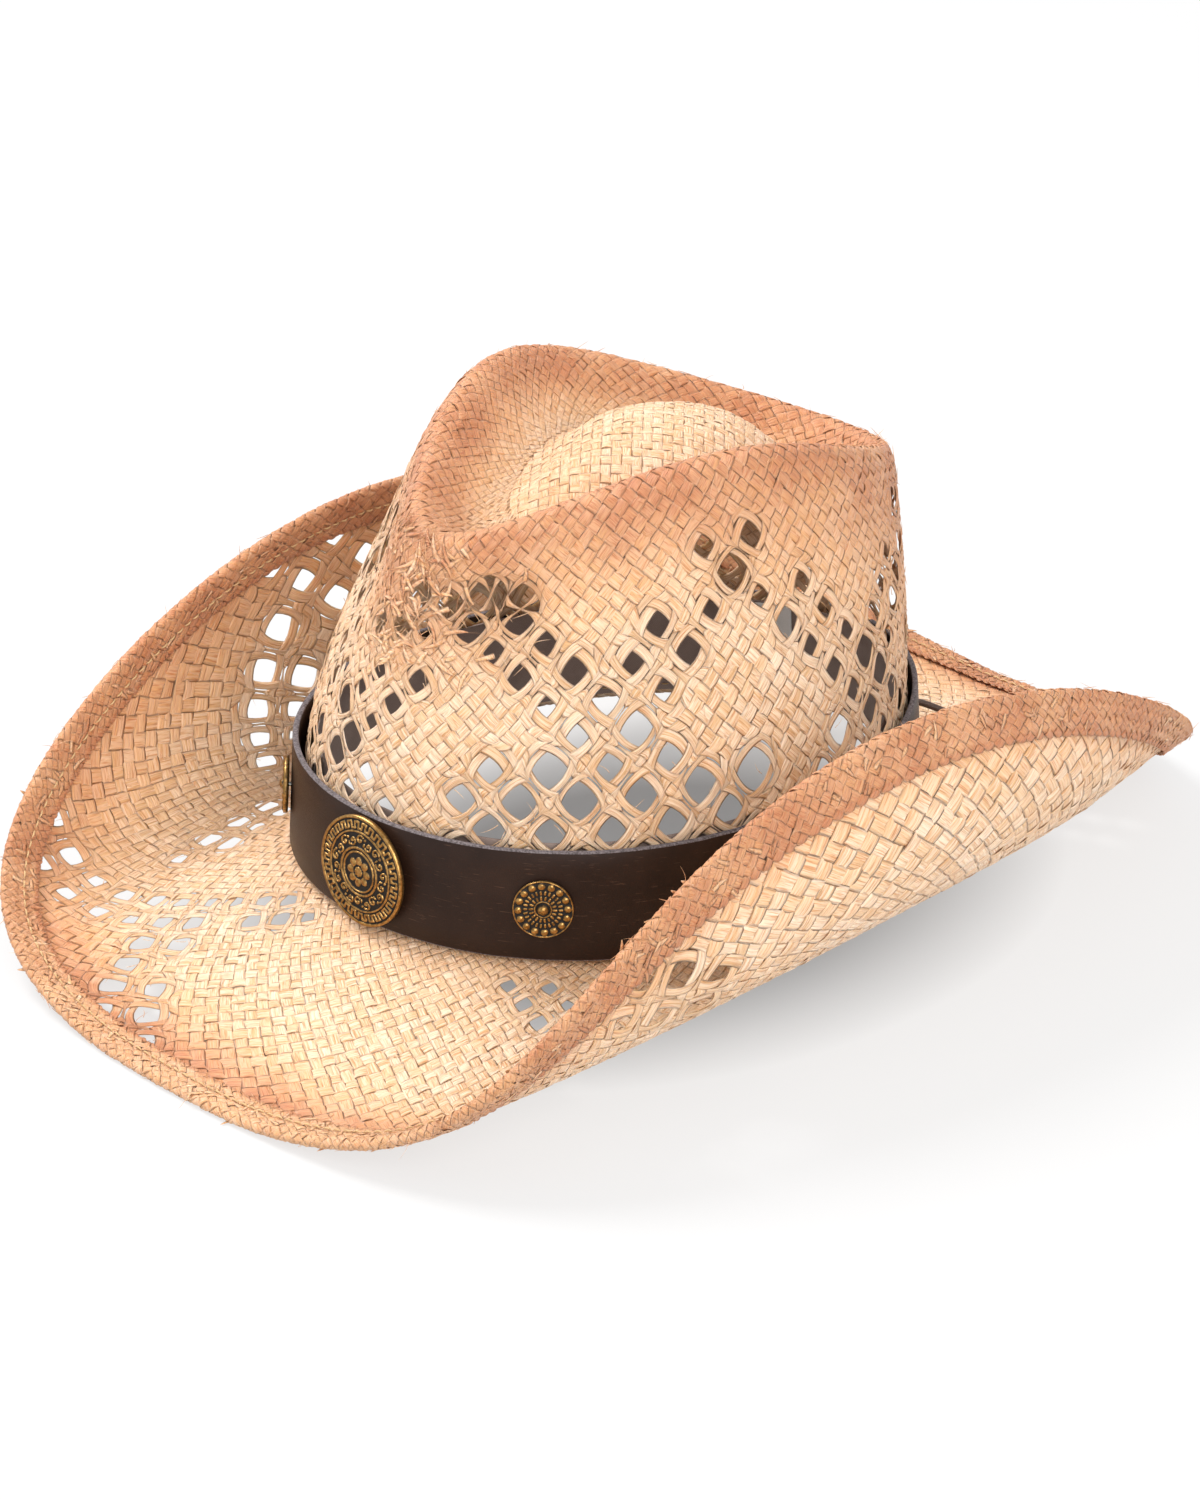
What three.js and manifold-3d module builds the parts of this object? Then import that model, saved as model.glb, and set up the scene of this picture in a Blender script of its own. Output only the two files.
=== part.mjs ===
// Woven straw cowboy hat with a leather hatband, brass conchos and a laced back.
// Millimetres, +Z up, front of the hat towards -Y, wearer's left towards +X.
// Angles run round the head from the front: 0 is the front, 90 degrees is +X, 180 is the back.
import * as THREE from 'three';
import Module from 'manifold-3d';

const wasm = await Module();
wasm.setup();

// ---------- driving dimensions ----------
const HEAD = { halfWidth: 82.5, halfLength: 100.2, egg: 0.12 }; // oval of the straw at the brim joint
const STRAW = 1.5; // thickness of the woven straw
const GAP = 0.3; // clearance between touching pieces
const CROWN_FOOT = 1.4; // the crown starts this far above the brim joint
const BRIM = {
  reach: 96, // pull of the brim's curve at its root
  belly: 47, // extra pull at the sides, which rounds the curled brim
  edgeX: [148.6, 19.8, 29.2, 8.4], // cosine series of the brim edge
  edgeY: [-1.1, 196.3, -6.4, -9.2],
  edgeZ: [17.3, -2.2, -47.2, 2.1, 4.5],
  rest: { height: -24.6, softness: 0.6 },
  rootSlope: { side: -20, front: -16, back: -13 }, // degrees
  edgeSlope: { side: 117, front: -4, back: -6 },
};
const CROWN = {
  ridgeX: [55.6, -15.6], // cosine series of the ridge round the top
  ridgeY: [-7.8, 82.2, -3.6, 5.2],
  ridgeZ: [121.7, 7.3, -13.5],
  bulge: [4.3, 2.8],
  pinch: { depth: 7, at: 33, width: 17 }, // dents on both sides of the front, in degrees
  centreY: 12.5,
  valley: [106.6, 3.1, -1.5], // height of the teardrop crease
  dome: [120.6, -1, -1],
  domeTop: 127,
};
const HEM = { leaf: 0.9, bight: 2.6 }; // a folded strip: thickness of each leaf and room inside
const WIRE = { radius: 0.5, sleeveInner: 0.72, sleeveOuter: 0.95, sleeveLength: 24, endGap: 3 };
const BAND = { height: 34, foot: 1.6, thickness: 1.8, standoff: 2.0, taper: 1.9, endAngle: 6 };
const CONCHO = { radius: 17, thickness: 3.2, angle: 1.5, holeRadius: 2.2 };
const STUD = { radius: 8.8, height: 3.4, angles: [-73, -36.5, 36.5, 73], holeRadius: 1.3 };
const SWEATBAND = { height: 33, foot: 2.0, thickness: 0.9, lean: 2.2 };
const LABEL = { width: 26, height: 24, foot: 11, thickness: 0.4, angle: 203 };
const LACE = { radius: 1.1, holeRadius: 1.7, holeHeights: [10, 25], holeInset: 6 };
const HEM_PRESSED = 0.6; // how far the resting hem is pressed flat

const Z = new THREE.Vector3(0, 0, 1);
const rad = THREE.MathUtils.degToRad;
const vec = (x, y, z) => new THREE.Vector3(x, y, z);
const harmonic = (phi, c) => c.reduce((sum, k, i) => sum + k * Math.cos(i * phi), 0);

// ---------- reference surfaces ----------
const oval = (phi, offset = 0, z = 0) =>
  vec(
    (HEAD.halfWidth + offset) * Math.sin(phi) * (1 + HEAD.egg * Math.cos(phi)),
    -(HEAD.halfLength + offset) * Math.cos(phi),
    z,
  );
const outward = (phi) =>
  vec(Math.sin(phi) / HEAD.halfWidth, -Math.cos(phi) / HEAD.halfLength, 0).normalize();
const ridge = (phi) =>
  vec(
    Math.sin(phi) * harmonic(phi, CROWN.ridgeX),
    -harmonic(phi, CROWN.ridgeY),
    harmonic(phi, CROWN.ridgeZ),
  );
// The brim's edge dips at the front and back, where it levels out as it rests on the table.
function brimEdge(phi) {
  const z = harmonic(phi, BRIM.edgeZ);
  const { height, softness } = BRIM.rest;
  return vec(
    Math.sin(phi) * harmonic(phi, BRIM.edgeX),
    -harmonic(phi, BRIM.edgeY),
    (z + height + Math.hypot(z - height, softness)) / 2,
  );
}

function blendRound(phi, { side, front, back }) {
  const s = Math.sin(phi) ** 2;
  const w = (1 + Math.cos(phi)) / 2;
  return side * s + (1 - s) * (front * w + back * (1 - w));
}

function slopeVector(phi, degrees) {
  const a = rad(degrees);
  return outward(phi).multiplyScalar(Math.cos(a)).addScaledVector(Z, Math.sin(a));
}

// Brim: a cubic curve from the head oval (t = 0) to the edge (t = 1).
function brimSurface(phi, t) {
  const root = slopeVector(phi, blendRound(phi, BRIM.rootSlope)).multiplyScalar(BRIM.reach);
  const pull = BRIM.reach + BRIM.belly * Math.sin(phi) ** 2;
  const tip = slopeVector(phi, blendRound(phi, BRIM.edgeSlope)).multiplyScalar(pull);
  return oval(phi)
    .multiplyScalar(2 * t ** 3 - 3 * t ** 2 + 1)
    .addScaledVector(root, t ** 3 - 2 * t ** 2 + t)
    .addScaledVector(brimEdge(phi), 3 * t ** 2 - 2 * t ** 3)
    .addScaledVector(tip, t ** 3 - t ** 2);
}

// Crown: a cubic B-spline up the side, over the rounded ridge, into the crease and up the dome.
function crownSurface(phi, s) {
  const out = outward(phi);
  const top = ridge(phi);
  const centre = vec(0, CROWN.centreY, 0);
  const foot = oval(phi);
  const shoulder = oval(phi, -1.2, 34);
  const bulge = harmonic(phi, CROWN.bulge);
  const away = Math.abs(Math.atan2(Math.sin(phi), Math.cos(phi)));
  const { depth, at, width } = CROWN.pinch;
  const pinch = depth * Math.exp(-(((away - rad(at)) / rad(width)) ** 2));
  const between = foot.clone().lerp(shoulder, 0.5);
  const side = (k, push) => shoulder.clone().lerp(top, k).addScaledVector(out, push);
  const inner = (k, z) => centre.clone().lerp(top, k).setZ(z);
  const lift = 2 * Math.sin(phi) ** 2 - 11.5;
  const domeRing = inner(0.13, CROWN.domeTop);
  const apex = centre.clone().setZ(CROWN.domeTop);
  const controls = [
    foot.clone().multiplyScalar(2).sub(between),
    foot,
    between,
    shoulder,
    side(0.33, bulge - 0.3 * pinch),
    side(0.72, 0.7 * bulge - pinch),
    top.clone().addScaledVector(Z, 8),
    inner(0.8, top.z + lift),
    inner(0.6, harmonic(phi, CROWN.valley)),
    inner(0.4, harmonic(phi, CROWN.dome)),
    domeRing,
    apex,
    apex.clone().multiplyScalar(2).sub(domeRing),
  ];
  const spans = controls.length - 3;
  const i = Math.min(Math.floor(s * spans), spans - 1);
  const u = s * spans - i;
  const weights = [
    (1 - u) ** 3 / 6,
    (3 * u ** 3 - 6 * u ** 2 + 4) / 6,
    (-3 * u ** 3 + 3 * u ** 2 + 3 * u + 1) / 6,
    u ** 3 / 6,
  ];
  return weights.reduce((p, w, k) => p.addScaledVector(controls[i + k], w), vec(0, 0, 0));
}

// Unit normal of a surface: out of the crown, or up from the brim.
function normalOf(surface, phi, t) {
  const h = 1e-3;
  const isCrown = surface === crownSurface;
  if (isCrown && t > 0.999) return Z.clone();
  const alongPhi = surface(phi + h, t).sub(surface(phi - h, t));
  const alongT = surface(phi, Math.min(t + h, 1)).sub(surface(phi, Math.max(t - h, 0)));
  const normal = alongPhi.cross(alongT).normalize();
  return isCrown ? normal : normal.negate();
}
const offsetPoint = (surface, phi, t, d) =>
  surface(phi, t).addScaledVector(normalOf(surface, phi, t), d);

// ---------- mesh helpers ----------
// Joins closed loops of points into one closed body: round the head, or from end cap to end cap.
function loftLoops(loops, closed) {
  const keys = new Map();
  const positions = [];
  const index = [];
  const idOf = (p) => {
    const key = [p.x, p.y, p.z].map((v) => Math.round(v * 2000)).join();
    if (!keys.has(key)) {
      keys.set(key, positions.length / 3);
      positions.push(p.x, p.y, p.z);
    }
    return keys.get(key);
  };
  const triangle = (a, b, c) => {
    if (a !== b && b !== c && c !== a) index.push(a, b, c);
  };
  const ids = loops.map((loop) => loop.map(idOf));
  const last = closed ? ids.length : ids.length - 1;
  for (let i = 0; i < last; i += 1) {
    const a = ids[i];
    const b = ids[(i + 1) % ids.length];
    for (let j = 0; j < a.length; j += 1) {
      const k = (j + 1) % a.length;
      triangle(a[j], b[j], b[k]);
      triangle(a[j], b[k], a[k]);
    }
  }
  if (!closed) {
    const capEnd = (loop, reverse) => {
      for (let j = 1; j < loop.length - 1; j += 1) {
        if (reverse) triangle(loop[0], loop[j], loop[j + 1]);
        else triangle(loop[0], loop[j + 1], loop[j]);
      }
    };
    capEnd(ids[0], true);
    capEnd(ids[ids.length - 1], false);
  }
  return outwardGeometry(positions, index);
}

// Makes a geometry whose faces point out, whichever way its loops were wound.
function outwardGeometry(positions, index) {
  const corner = (i) => vec(positions[3 * i], positions[3 * i + 1], positions[3 * i + 2]);
  let volume = 0;
  for (let i = 0; i < index.length; i += 3) {
    const [a, b, c] = [0, 1, 2].map((k) => corner(index[i + k]));
    volume += a.dot(b.cross(c));
  }
  const wound = volume > 0 ? index : index.slice().reverse();
  const geometry = new THREE.BufferGeometry();
  geometry.setAttribute('position', new THREE.Float32BufferAttribute(positions, 3));
  geometry.setIndex(wound);
  geometry.computeVertexNormals();
  return geometry;
}

const range = (n, from, to) => Array.from({ length: n + 1 }, (_, i) => from + ((to - from) * i) / n);
const ringAngles = (n) => range(n, 0, 2 * Math.PI).slice(0, n);
const ring = (n, sectionAt) => loftLoops(ringAngles(n).map(sectionAt), true);

// Cuts with the solid library, for holes through the leather.
function toSolid(geometry) {
  return new wasm.Manifold(
    new wasm.Mesh({
      numProp: 3,
      vertProperties: new Float32Array(geometry.attributes.position.array),
      triVerts: new Uint32Array(geometry.index.array),
    }),
  );
}
function fromSolid(solid) {
  const mesh = solid.getMesh();
  return outwardGeometry(Array.from(mesh.vertProperties), Array.from(mesh.triVerts));
}

// A closed round bar between two points.
function bar(from, to, radius, sides = 10) {
  const axis = to.clone().sub(from).normalize();
  const side = Math.abs(axis.z) > 0.9 ? vec(1, 0, 0) : Z.clone();
  const u = side.cross(axis).normalize();
  const v = axis.clone().cross(u);
  const loop = (centre) =>
    ringAngles(sides).map((a) =>
      centre
        .clone()
        .addScaledVector(u, radius * Math.cos(a))
        .addScaledVector(v, radius * Math.sin(a)),
    );
  return loftLoops([loop(from), loop(to)], false);
}

// A tube along a curve, with both ends closed.
function cord(points, radius, steps, sides = 8) {
  const section = new THREE.Shape(
    ringAngles(sides).map((a) => new THREE.Vector2(radius * Math.cos(a), radius * Math.sin(a))),
  );
  const extrudePath = new THREE.CatmullRomCurve3(points, false, 'centripetal');
  return new THREE.ExtrudeGeometry(section, { steps, extrudePath, curveSegments: 1 });
}

// ---------- materials ----------
const finish = (color, roughness, metalness = 0) =>
  new THREE.MeshStandardMaterial({ color, roughness, metalness });
const straw = finish(0xe8c99a, 0.65);
const strawHem = finish(0xc49268, 0.7);
const leather = finish(0x3a2720, 0.5);
const brass = finish(0x9c7a3c, 0.38, 1);
const steel = finish(0x8c8c88, 0.4, 1);
const tape = finish(0xa59488, 0.85);
const thread = finish(0xb99f7c, 0.8);
const paper = finish(0xf2efe8, 0.7);
const laceMaterial = finish(0x3b2b24, 0.6);

const hat = new THREE.Group();
const resting = brimEdge(0).z + brimEdge(Math.PI).z;
const hemDepth = HEM.bight / 2 + HEM.leaf;
hat.position.set(
  0,
  -(brimEdge(0).y + brimEdge(Math.PI).y) / 2,
  hemDepth - resting / 2 - HEM_PRESSED,
);
const addPiece = (name, geometry, material, parent = hat) => {
  const mesh = new THREE.Mesh(geometry, material);
  mesh.name = name;
  parent.add(mesh);
  return mesh;
};

// ---------- woven straw ----------
// The crown's foot is cut level, just above the brim.
const CROWN_AROUND = 44; // the sweatband shares these divisions
const CROWN_STATIONS = [0.03, 0.14, 0.26, ...range(13, 0.35, 1)];
function crownSection(phi) {
  const wall = (depth) =>
    CROWN_STATIONS.map((s, i) => {
      const p = offsetPoint(crownSurface, phi, s, depth);
      return i === 0 ? p.setZ(CROWN_FOOT) : p;
    });
  return [...wall(STRAW / 2), ...wall(-STRAW / 2).reverse()];
}
addPiece('straw_crown', ring(CROWN_AROUND, crownSection), straw);

const AROUND = 56; // the brim and its hem share these divisions, so they nest exactly
const HEM_STATIONS = [0.94, 0.97]; // where the hem's leaves bend along with the sheet
const BRIM_STATIONS = [...range(7, 0, 0.88), ...HEM_STATIONS, 0.985];
function brimSection(phi) {
  const top = BRIM_STATIONS.map((t) => offsetPoint(brimSurface, phi, t, STRAW / 2));
  const under = BRIM_STATIONS.map((t) => offsetPoint(brimSurface, phi, t, -STRAW / 2));
  return [...top, ...under.reverse()];
}
addPiece('straw_brim', ring(AROUND, brimSection), straw);

// Directions across the brim at its edge: out along the sheet, and up from it.
function edgeAxes(phi) {
  const at = brimEdge(phi);
  const out = at.clone().sub(brimSurface(phi, 0.995)).normalize();
  const up = normalOf(brimSurface, phi, 1);
  return { at, out, up };
}
const pressFlat = (p) => {
  const floor = -hat.position.z;
  return p.z < floor ? p.setZ(floor) : p;
};
// The hem is a strip folded round the brim's edge: a channel that opens towards the crown.
function hemSection(phi) {
  const { at, out, up } = edgeAxes(phi);
  const inner = HEM.bight / 2;
  const outer = inner + HEM.leaf;
  const leaf = (depth) => HEM_STATIONS.map((t) => offsetPoint(brimSurface, phi, t, depth));
  const fold = (r, angles) =>
    angles.map((a) =>
      at
        .clone()
        .addScaledVector(out, r * Math.cos(a))
        .addScaledVector(up, r * Math.sin(a)),
    );
  return [
    ...leaf(outer),
    ...fold(outer, range(3, Math.PI / 2, -Math.PI / 2)),
    ...leaf(-outer).reverse(),
    ...leaf(-inner),
    ...fold(inner, range(4, -Math.PI / 2, Math.PI / 2)),
    ...leaf(inner).reverse(),
  ].map(pressFlat);
}
addPiece('brim_hem', ring(AROUND, hemSection), strawHem);

// ---------- brim wire, its joining sleeve and the hem stitching ----------
const roundSection = (centre, u, v, radius, sides) =>
  ringAngles(sides).map((a) =>
    centre
      .clone()
      .addScaledVector(u, radius * Math.cos(a))
      .addScaledVector(v, radius * Math.sin(a)),
  );
const backSpan = brimEdge(Math.PI - 0.1).distanceTo(brimEdge(Math.PI)) / 0.1; // mm per radian
const wireEnd = WIRE.endGap / 2 / backSpan;
const sleeveReach = WIRE.sleeveLength / 2 / backSpan;
const wireTurn = Math.PI - 1.3 * sleeveReach; // finer steps beyond this, inside the sleeve
const wireAngles = [
  ...range(3, -Math.PI + wireEnd, -wireTurn),
  ...range(52, 0.1 - wireTurn, wireTurn - 0.1),
  ...range(3, wireTurn, Math.PI - wireEnd),
];
const wireLoop = (radius, sides) => (phi) => {
  const { at, out, up } = edgeAxes(phi);
  return roundSection(at, out, up, radius, sides);
};
addPiece('brim_wire', loftLoops(wireAngles.map(wireLoop(WIRE.radius, 6)), false), steel);

const sleeveAngles = range(6, Math.PI - sleeveReach, Math.PI + sleeveReach);
const sleeveOuter = loftLoops(sleeveAngles.map(wireLoop(WIRE.sleeveOuter, 8)), false);
const boreAngles = range(6, Math.PI - 1.1 * sleeveReach, Math.PI + 1.1 * sleeveReach);
const sleeveBore = loftLoops(boreAngles.map(wireLoop(WIRE.sleeveInner, 8)), false);
addPiece(
  'brim_wire_sleeve',
  fromSolid(toSolid(sleeveOuter).subtract(toSolid(sleeveBore))),
  steel,
);

// A line of thread along the middle of the hem's upper leaf.
const STITCH = { from: 0.95, to: 0.957, thickness: 0.35 };
function hemStitchSection(phi) {
  const base = hemDepth + GAP;
  return [
    offsetPoint(brimSurface, phi, STITCH.from, base),
    offsetPoint(brimSurface, phi, STITCH.to, base),
    offsetPoint(brimSurface, phi, (STITCH.from + STITCH.to) / 2, base + STITCH.thickness),
  ];
}
addPiece('hem_stitching', ring(AROUND, hemStitchSection), thread);

// ---------- sweatband, its stitching and the blank size label ----------
const strawFace = STRAW / 2 + GAP;
const sweatOffset = (z) => -strawFace - (SWEATBAND.lean * z) / SWEATBAND.height;
function sweatbandSection(phi) {
  const strip = (depth, z) => oval(phi, sweatOffset(z) - depth, z);
  const { foot, height, thickness } = SWEATBAND;
  return [
    strip(0.5, foot),
    strip(0.5, foot + height),
    strip(0.5 + thickness, foot + height),
    strip(0.5 + thickness, foot),
  ];
}
addPiece('sweatband', ring(CROWN_AROUND, sweatbandSection), tape);

function sweatStitchSection(phi) {
  const inner = -0.5 - SWEATBAND.thickness - 0.15;
  const z = SWEATBAND.foot + 2.2;
  return [
    oval(phi, sweatOffset(z) + inner, z - 0.35),
    oval(phi, sweatOffset(z) + inner, z + 0.35),
    oval(phi, sweatOffset(z) + inner - 0.35, z),
  ];
}
addPiece('sweatband_stitching', ring(CROWN_AROUND, sweatStitchSection), thread);

const labelReach = LABEL.width / 2 / 95;
const labelLoops = range(6, rad(LABEL.angle) - labelReach, rad(LABEL.angle) + labelReach).map(
  (phi) => {
    const depth = -0.5 - SWEATBAND.thickness - GAP;
    const point = (d, z) => oval(phi, sweatOffset(z) + depth - d, z);
    const top = LABEL.foot + LABEL.height;
    return [
      point(0, LABEL.foot),
      point(0, top),
      point(LABEL.thickness, top),
      point(LABEL.thickness, LABEL.foot),
    ];
  },
);
addPiece('size_label', loftLoops(labelLoops, false), paper);

// ---------- leather hatband ----------
const hatband = new THREE.Group();
hat.add(hatband);
const bandInner = (z) => BAND.standoff + STRAW / 2 - (BAND.taper * (z - BAND.foot)) / BAND.height;
const bandPoint = (phi, depth, z) => oval(phi, bandInner(z) + depth, z);
// Outward direction of the leather, leaning with the taper.
function bandNormal(phi) {
  const lean = Math.atan(BAND.taper / BAND.height);
  return outward(phi).multiplyScalar(Math.cos(lean)).addScaledVector(Z, Math.sin(lean)).normalize();
}
const bandMiddle = BAND.foot + BAND.height / 2;
const bandEnd = Math.PI - rad(BAND.endAngle);
const bandLoops = range(48, -bandEnd, bandEnd).map((phi) => [
  bandPoint(phi, 0, BAND.foot),
  bandPoint(phi, BAND.thickness, BAND.foot),
  bandPoint(phi, BAND.thickness, BAND.foot + BAND.height),
  bandPoint(phi, 0, BAND.foot + BAND.height),
]);
let bandSolid = toSolid(loftLoops(bandLoops, false));
function pierce(phi, z, radius) {
  const direction = bandNormal(phi);
  const from = bandPoint(phi, 0, z).addScaledVector(direction, -3);
  const to = bandPoint(phi, BAND.thickness, z).addScaledVector(direction, 3);
  bandSolid = bandSolid.subtract(toSolid(bar(from, to, radius)));
}
pierce(rad(CONCHO.angle), bandMiddle, CONCHO.holeRadius);
STUD.angles.forEach((angle) => pierce(rad(angle), bandMiddle, STUD.holeRadius));
const laceAngle = bandEnd - LACE.holeInset / HEAD.halfWidth;
[-laceAngle, laceAngle].forEach((phi) =>
  LACE.holeHeights.forEach((z) => pierce(phi, z, LACE.holeRadius)),
);
addPiece('leather_band', fromSolid(bandSolid), leather, hatband);

// A group whose +Z axis points out of the leather, with its origin on the outer face.
function bandFrame(phi, depth) {
  const frame = new THREE.Group();
  frame.position.copy(bandPoint(phi, depth, bandMiddle));
  frame.quaternion.setFromUnitVectors(Z, bandNormal(phi));
  hatband.add(frame);
  return frame;
}
const lathe = (profile, segments) =>
  new THREE.LatheGeometry(
    profile.map(([r, y]) => new THREE.Vector2(r, y)),
    segments,
  ).rotateX(Math.PI / 2);

// ---------- front concho: a domed disc on a screw from behind the leather ----------
const conchoSeat = bandFrame(rad(CONCHO.angle), BAND.thickness + GAP);
const conchoProfile = [
  [0, 1.6],
  [1.7, 1.6],
  [1.7, 0],
  [5, 0],
  [CONCHO.radius - 1.2, 0.9],
  [CONCHO.radius, 1.2],
  [CONCHO.radius, 2.0],
  [CONCHO.radius - 1.4, CONCHO.thickness - 0.4],
  [CONCHO.radius - 5, CONCHO.thickness - 0.7],
  [6.5, CONCHO.thickness],
  [5, CONCHO.thickness + 0.3],
  [0, CONCHO.thickness + 0.6],
];
addPiece('front_concho', lathe(conchoProfile, 24), brass, conchoSeat);
const headTop = -BAND.thickness - GAP - 0.5; // behind the leather, seen from a seat on its outer face
const screwProfile = [
  [0, headTop - 0.7],
  [4.2, headTop - 0.7],
  [4.2, headTop],
  [1.4, headTop],
  [1.4, 1.3],
  [0, 1.3],
];
addPiece('concho_screw', lathe(screwProfile, 12), steel, conchoSeat);

// ---------- side studs and the rivets that hold them ----------
STUD.angles.forEach((angle, i) => {
  const seat = bandFrame(rad(angle), BAND.thickness + GAP);
  const studProfile = [
    [0, 1.2],
    [1.0, 1.2],
    [1.0, 0],
    [3, 0],
    [STUD.radius - 0.8, 0.4],
    [STUD.radius, 0.9],
    [STUD.radius - 0.4, STUD.height - 1.3],
    [STUD.radius - 2.2, STUD.height - 1.6],
    [2.4, STUD.height - 1.3],
    [1.6, STUD.height - 0.3],
    [0, STUD.height],
  ];
  addPiece(`side_stud_${i + 1}`, lathe(studProfile, 16), brass, seat);
  const rivetProfile = [
    [0, headTop - 0.6],
    [3, headTop - 0.6],
    [3, headTop],
    [0.7, headTop],
    [0.7, 0.9],
    [0, 0.9],
  ];
  addPiece(`stud_rivet_${i + 1}`, lathe(rivetProfile, 8), brass, seat);
});

// ---------- lacing at the back ----------
// Two short bridges join the band's ends, a knot gathers them and two tails lie on the brim.
const laceDepth = BAND.thickness + 0.3 + LACE.radius;
const bridgeEnd = laceAngle - 0.5 * (LACE.holeRadius / HEAD.halfWidth);
LACE.holeHeights.forEach((z, i) => {
  const points = range(6, bridgeEnd, 2 * Math.PI - bridgeEnd).map((phi) =>
    bandPoint(phi, laceDepth, z),
  );
  addPiece(`lace_bridge_${i + 1}`, cord(points, LACE.radius, 8), laceMaterial, hatband);
});
const KNOT = { height: 17.5, halfWidth: 4.2, halfHeight: 3.2, depth: 2.4 };
const knotCentre = bandPoint(Math.PI, laceDepth + 0.6, KNOT.height);
const knot = new THREE.SphereGeometry(1, 12, 7);
knot.scale(KNOT.halfWidth, KNOT.depth, KNOT.halfHeight);
addPiece('lace_knot', knot, laceMaterial, hatband).position.copy(knotCentre);

// Tail routes, seen from above: out of the knot, down to the brim and along it.
const onBrim = (degrees, t, height = 0.35) =>
  offsetPoint(brimSurface, rad(degrees), t, STRAW / 2 + LACE.radius + height);
const TAIL_KNOT = 2.6;
function tail(side) {
  const start = knotCentre.clone().add(vec(side * (KNOT.halfWidth + GAP), 0, -0.6));
  const back = (degrees) => 180 - side * degrees;
  const route = [
    start,
    start.clone().add(vec(side * 3, 0.8, -1.2)),
    start.clone().add(vec(side * 6.5, 2.6, -5.5)),
    onBrim(back(7.5), 0.11, 2.2),
    onBrim(back(11), 0.18),
    onBrim(back(14.5), 0.27),
    onBrim(back(17.5), 0.37),
    onBrim(back(19), 0.48),
    onBrim(back(18.5), 0.59),
  ];
  if (side > 0) route.push(onBrim(back(17), 0.7), onBrim(back(17.5), 0.78));
  else route.push(onBrim(back(16.5), 0.68));
  return route;
}
[1, -1].forEach((side) => {
  const label = side > 0 ? 'left' : 'right';
  const route = tail(side);
  addPiece(`lace_tail_${label}`, cord(route, LACE.radius, 26), laceMaterial, hatband);
  const end = route[route.length - 1];
  const along = end.clone().sub(route[route.length - 2]).normalize();
  const ball = new THREE.SphereGeometry(TAIL_KNOT, 10, 7);
  const knotLift = normalOf(brimSurface, Math.PI, 0.7).multiplyScalar(TAIL_KNOT - LACE.radius + 0.3);
  addPiece(`tail_knot_${label}`, ball, laceMaterial, hatband).position
    .copy(end)
    .addScaledVector(along, TAIL_KNOT + GAP)
    .add(knotLift);
});

export default hat;
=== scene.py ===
"""Looks of the woven straw cowboy hat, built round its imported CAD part.

Lengths inside the modelling functions are millimetres in the hat's own axes, whose origin is the
middle of the head opening. place() turns them into metres in the frame. Angles run round the head
from the front.
"""

import math

import bpy
import numpy as np
from mathutils import Matrix, Vector


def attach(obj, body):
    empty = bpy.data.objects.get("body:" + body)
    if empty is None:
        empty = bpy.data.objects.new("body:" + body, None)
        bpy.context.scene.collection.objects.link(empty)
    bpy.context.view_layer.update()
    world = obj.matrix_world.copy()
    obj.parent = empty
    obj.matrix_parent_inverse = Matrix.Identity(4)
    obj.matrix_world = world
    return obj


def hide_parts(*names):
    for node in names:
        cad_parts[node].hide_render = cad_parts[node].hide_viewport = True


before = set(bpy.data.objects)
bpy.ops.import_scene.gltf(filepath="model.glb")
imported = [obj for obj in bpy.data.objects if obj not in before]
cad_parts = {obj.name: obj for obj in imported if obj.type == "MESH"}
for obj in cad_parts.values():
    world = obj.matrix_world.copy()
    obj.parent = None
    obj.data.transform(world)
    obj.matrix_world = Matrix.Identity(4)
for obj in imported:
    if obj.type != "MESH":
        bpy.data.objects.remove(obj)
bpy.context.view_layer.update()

# ---------- dimensions shared with the CAD part, mm ----------
HEAD_WIDTH, HEAD_LENGTH, HEAD_EGG = 82.5, 100.2, 0.12
STRAW = 1.5
GAP = 0.3
BRIM_REACH, BRIM_BELLY = 96, 47
# Lists of several numbers are cosine series of the angle round the head.
EDGE_X = [148.6, 19.8, 29.2, 8.4]
EDGE_Y = [-1.1, 196.3, -6.4, -9.2]
EDGE_Z = [17.3, -2.2, -47.2, 2.1, 4.5]
REST_HEIGHT, REST_SOFTNESS = -24.6, 0.6
ROOT_SLOPE = (-20, -16, -13)  # degrees, at the side, front and back
EDGE_SLOPE = (117, -4, -6)
RIDGE_X = [55.6, -15.6]
RIDGE_Y = [-7.8, 82.2, -3.6, 5.2]
RIDGE_Z = [121.7, 7.3, -13.5]
CROWN_BULGE = [4.3, 2.8]
PINCH_DEPTH, PINCH_AT, PINCH_WIDTH = 7, 33, 17  # mm, and degrees from the front
CROWN_CENTRE = np.array([0, 12.5, 0])
VALLEY = [106.6, 3.1, -1.5]
DOME = [120.6, -1, -1]
DOME_TOP = 127
HEM_DEPTH = 2.2
HEM_PRESSED = 0.6
BAND_FOOT, BAND_HEIGHT, BAND_THICKNESS = 1.6, 34, 1.8
BAND_STANDOFF, BAND_TAPER = 2.0, 1.9
BAND_END = 6  # degrees from the back to each end of the leather
CONCHO_ANGLE, CONCHO_RADIUS = 1.5, 17  # angles on the band are degrees from the front
STUD_ANGLES, STUD_RADIUS = (-73, -36.5, 36.5, 73), 8.8
SWEATBAND_FOOT, SWEATBAND_HEIGHT, SWEATBAND_LEAN = 2.0, 33, 2.2
LABEL_WIDTH, LABEL_HEIGHT, LABEL_FOOT, LABEL_ANGLE = 26, 24, 11, 203
LACE_RADIUS, LACE_HOLE_INSET, LACE_HOLE_HEIGHTS = 1.1, 6, (10, 25)
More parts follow.
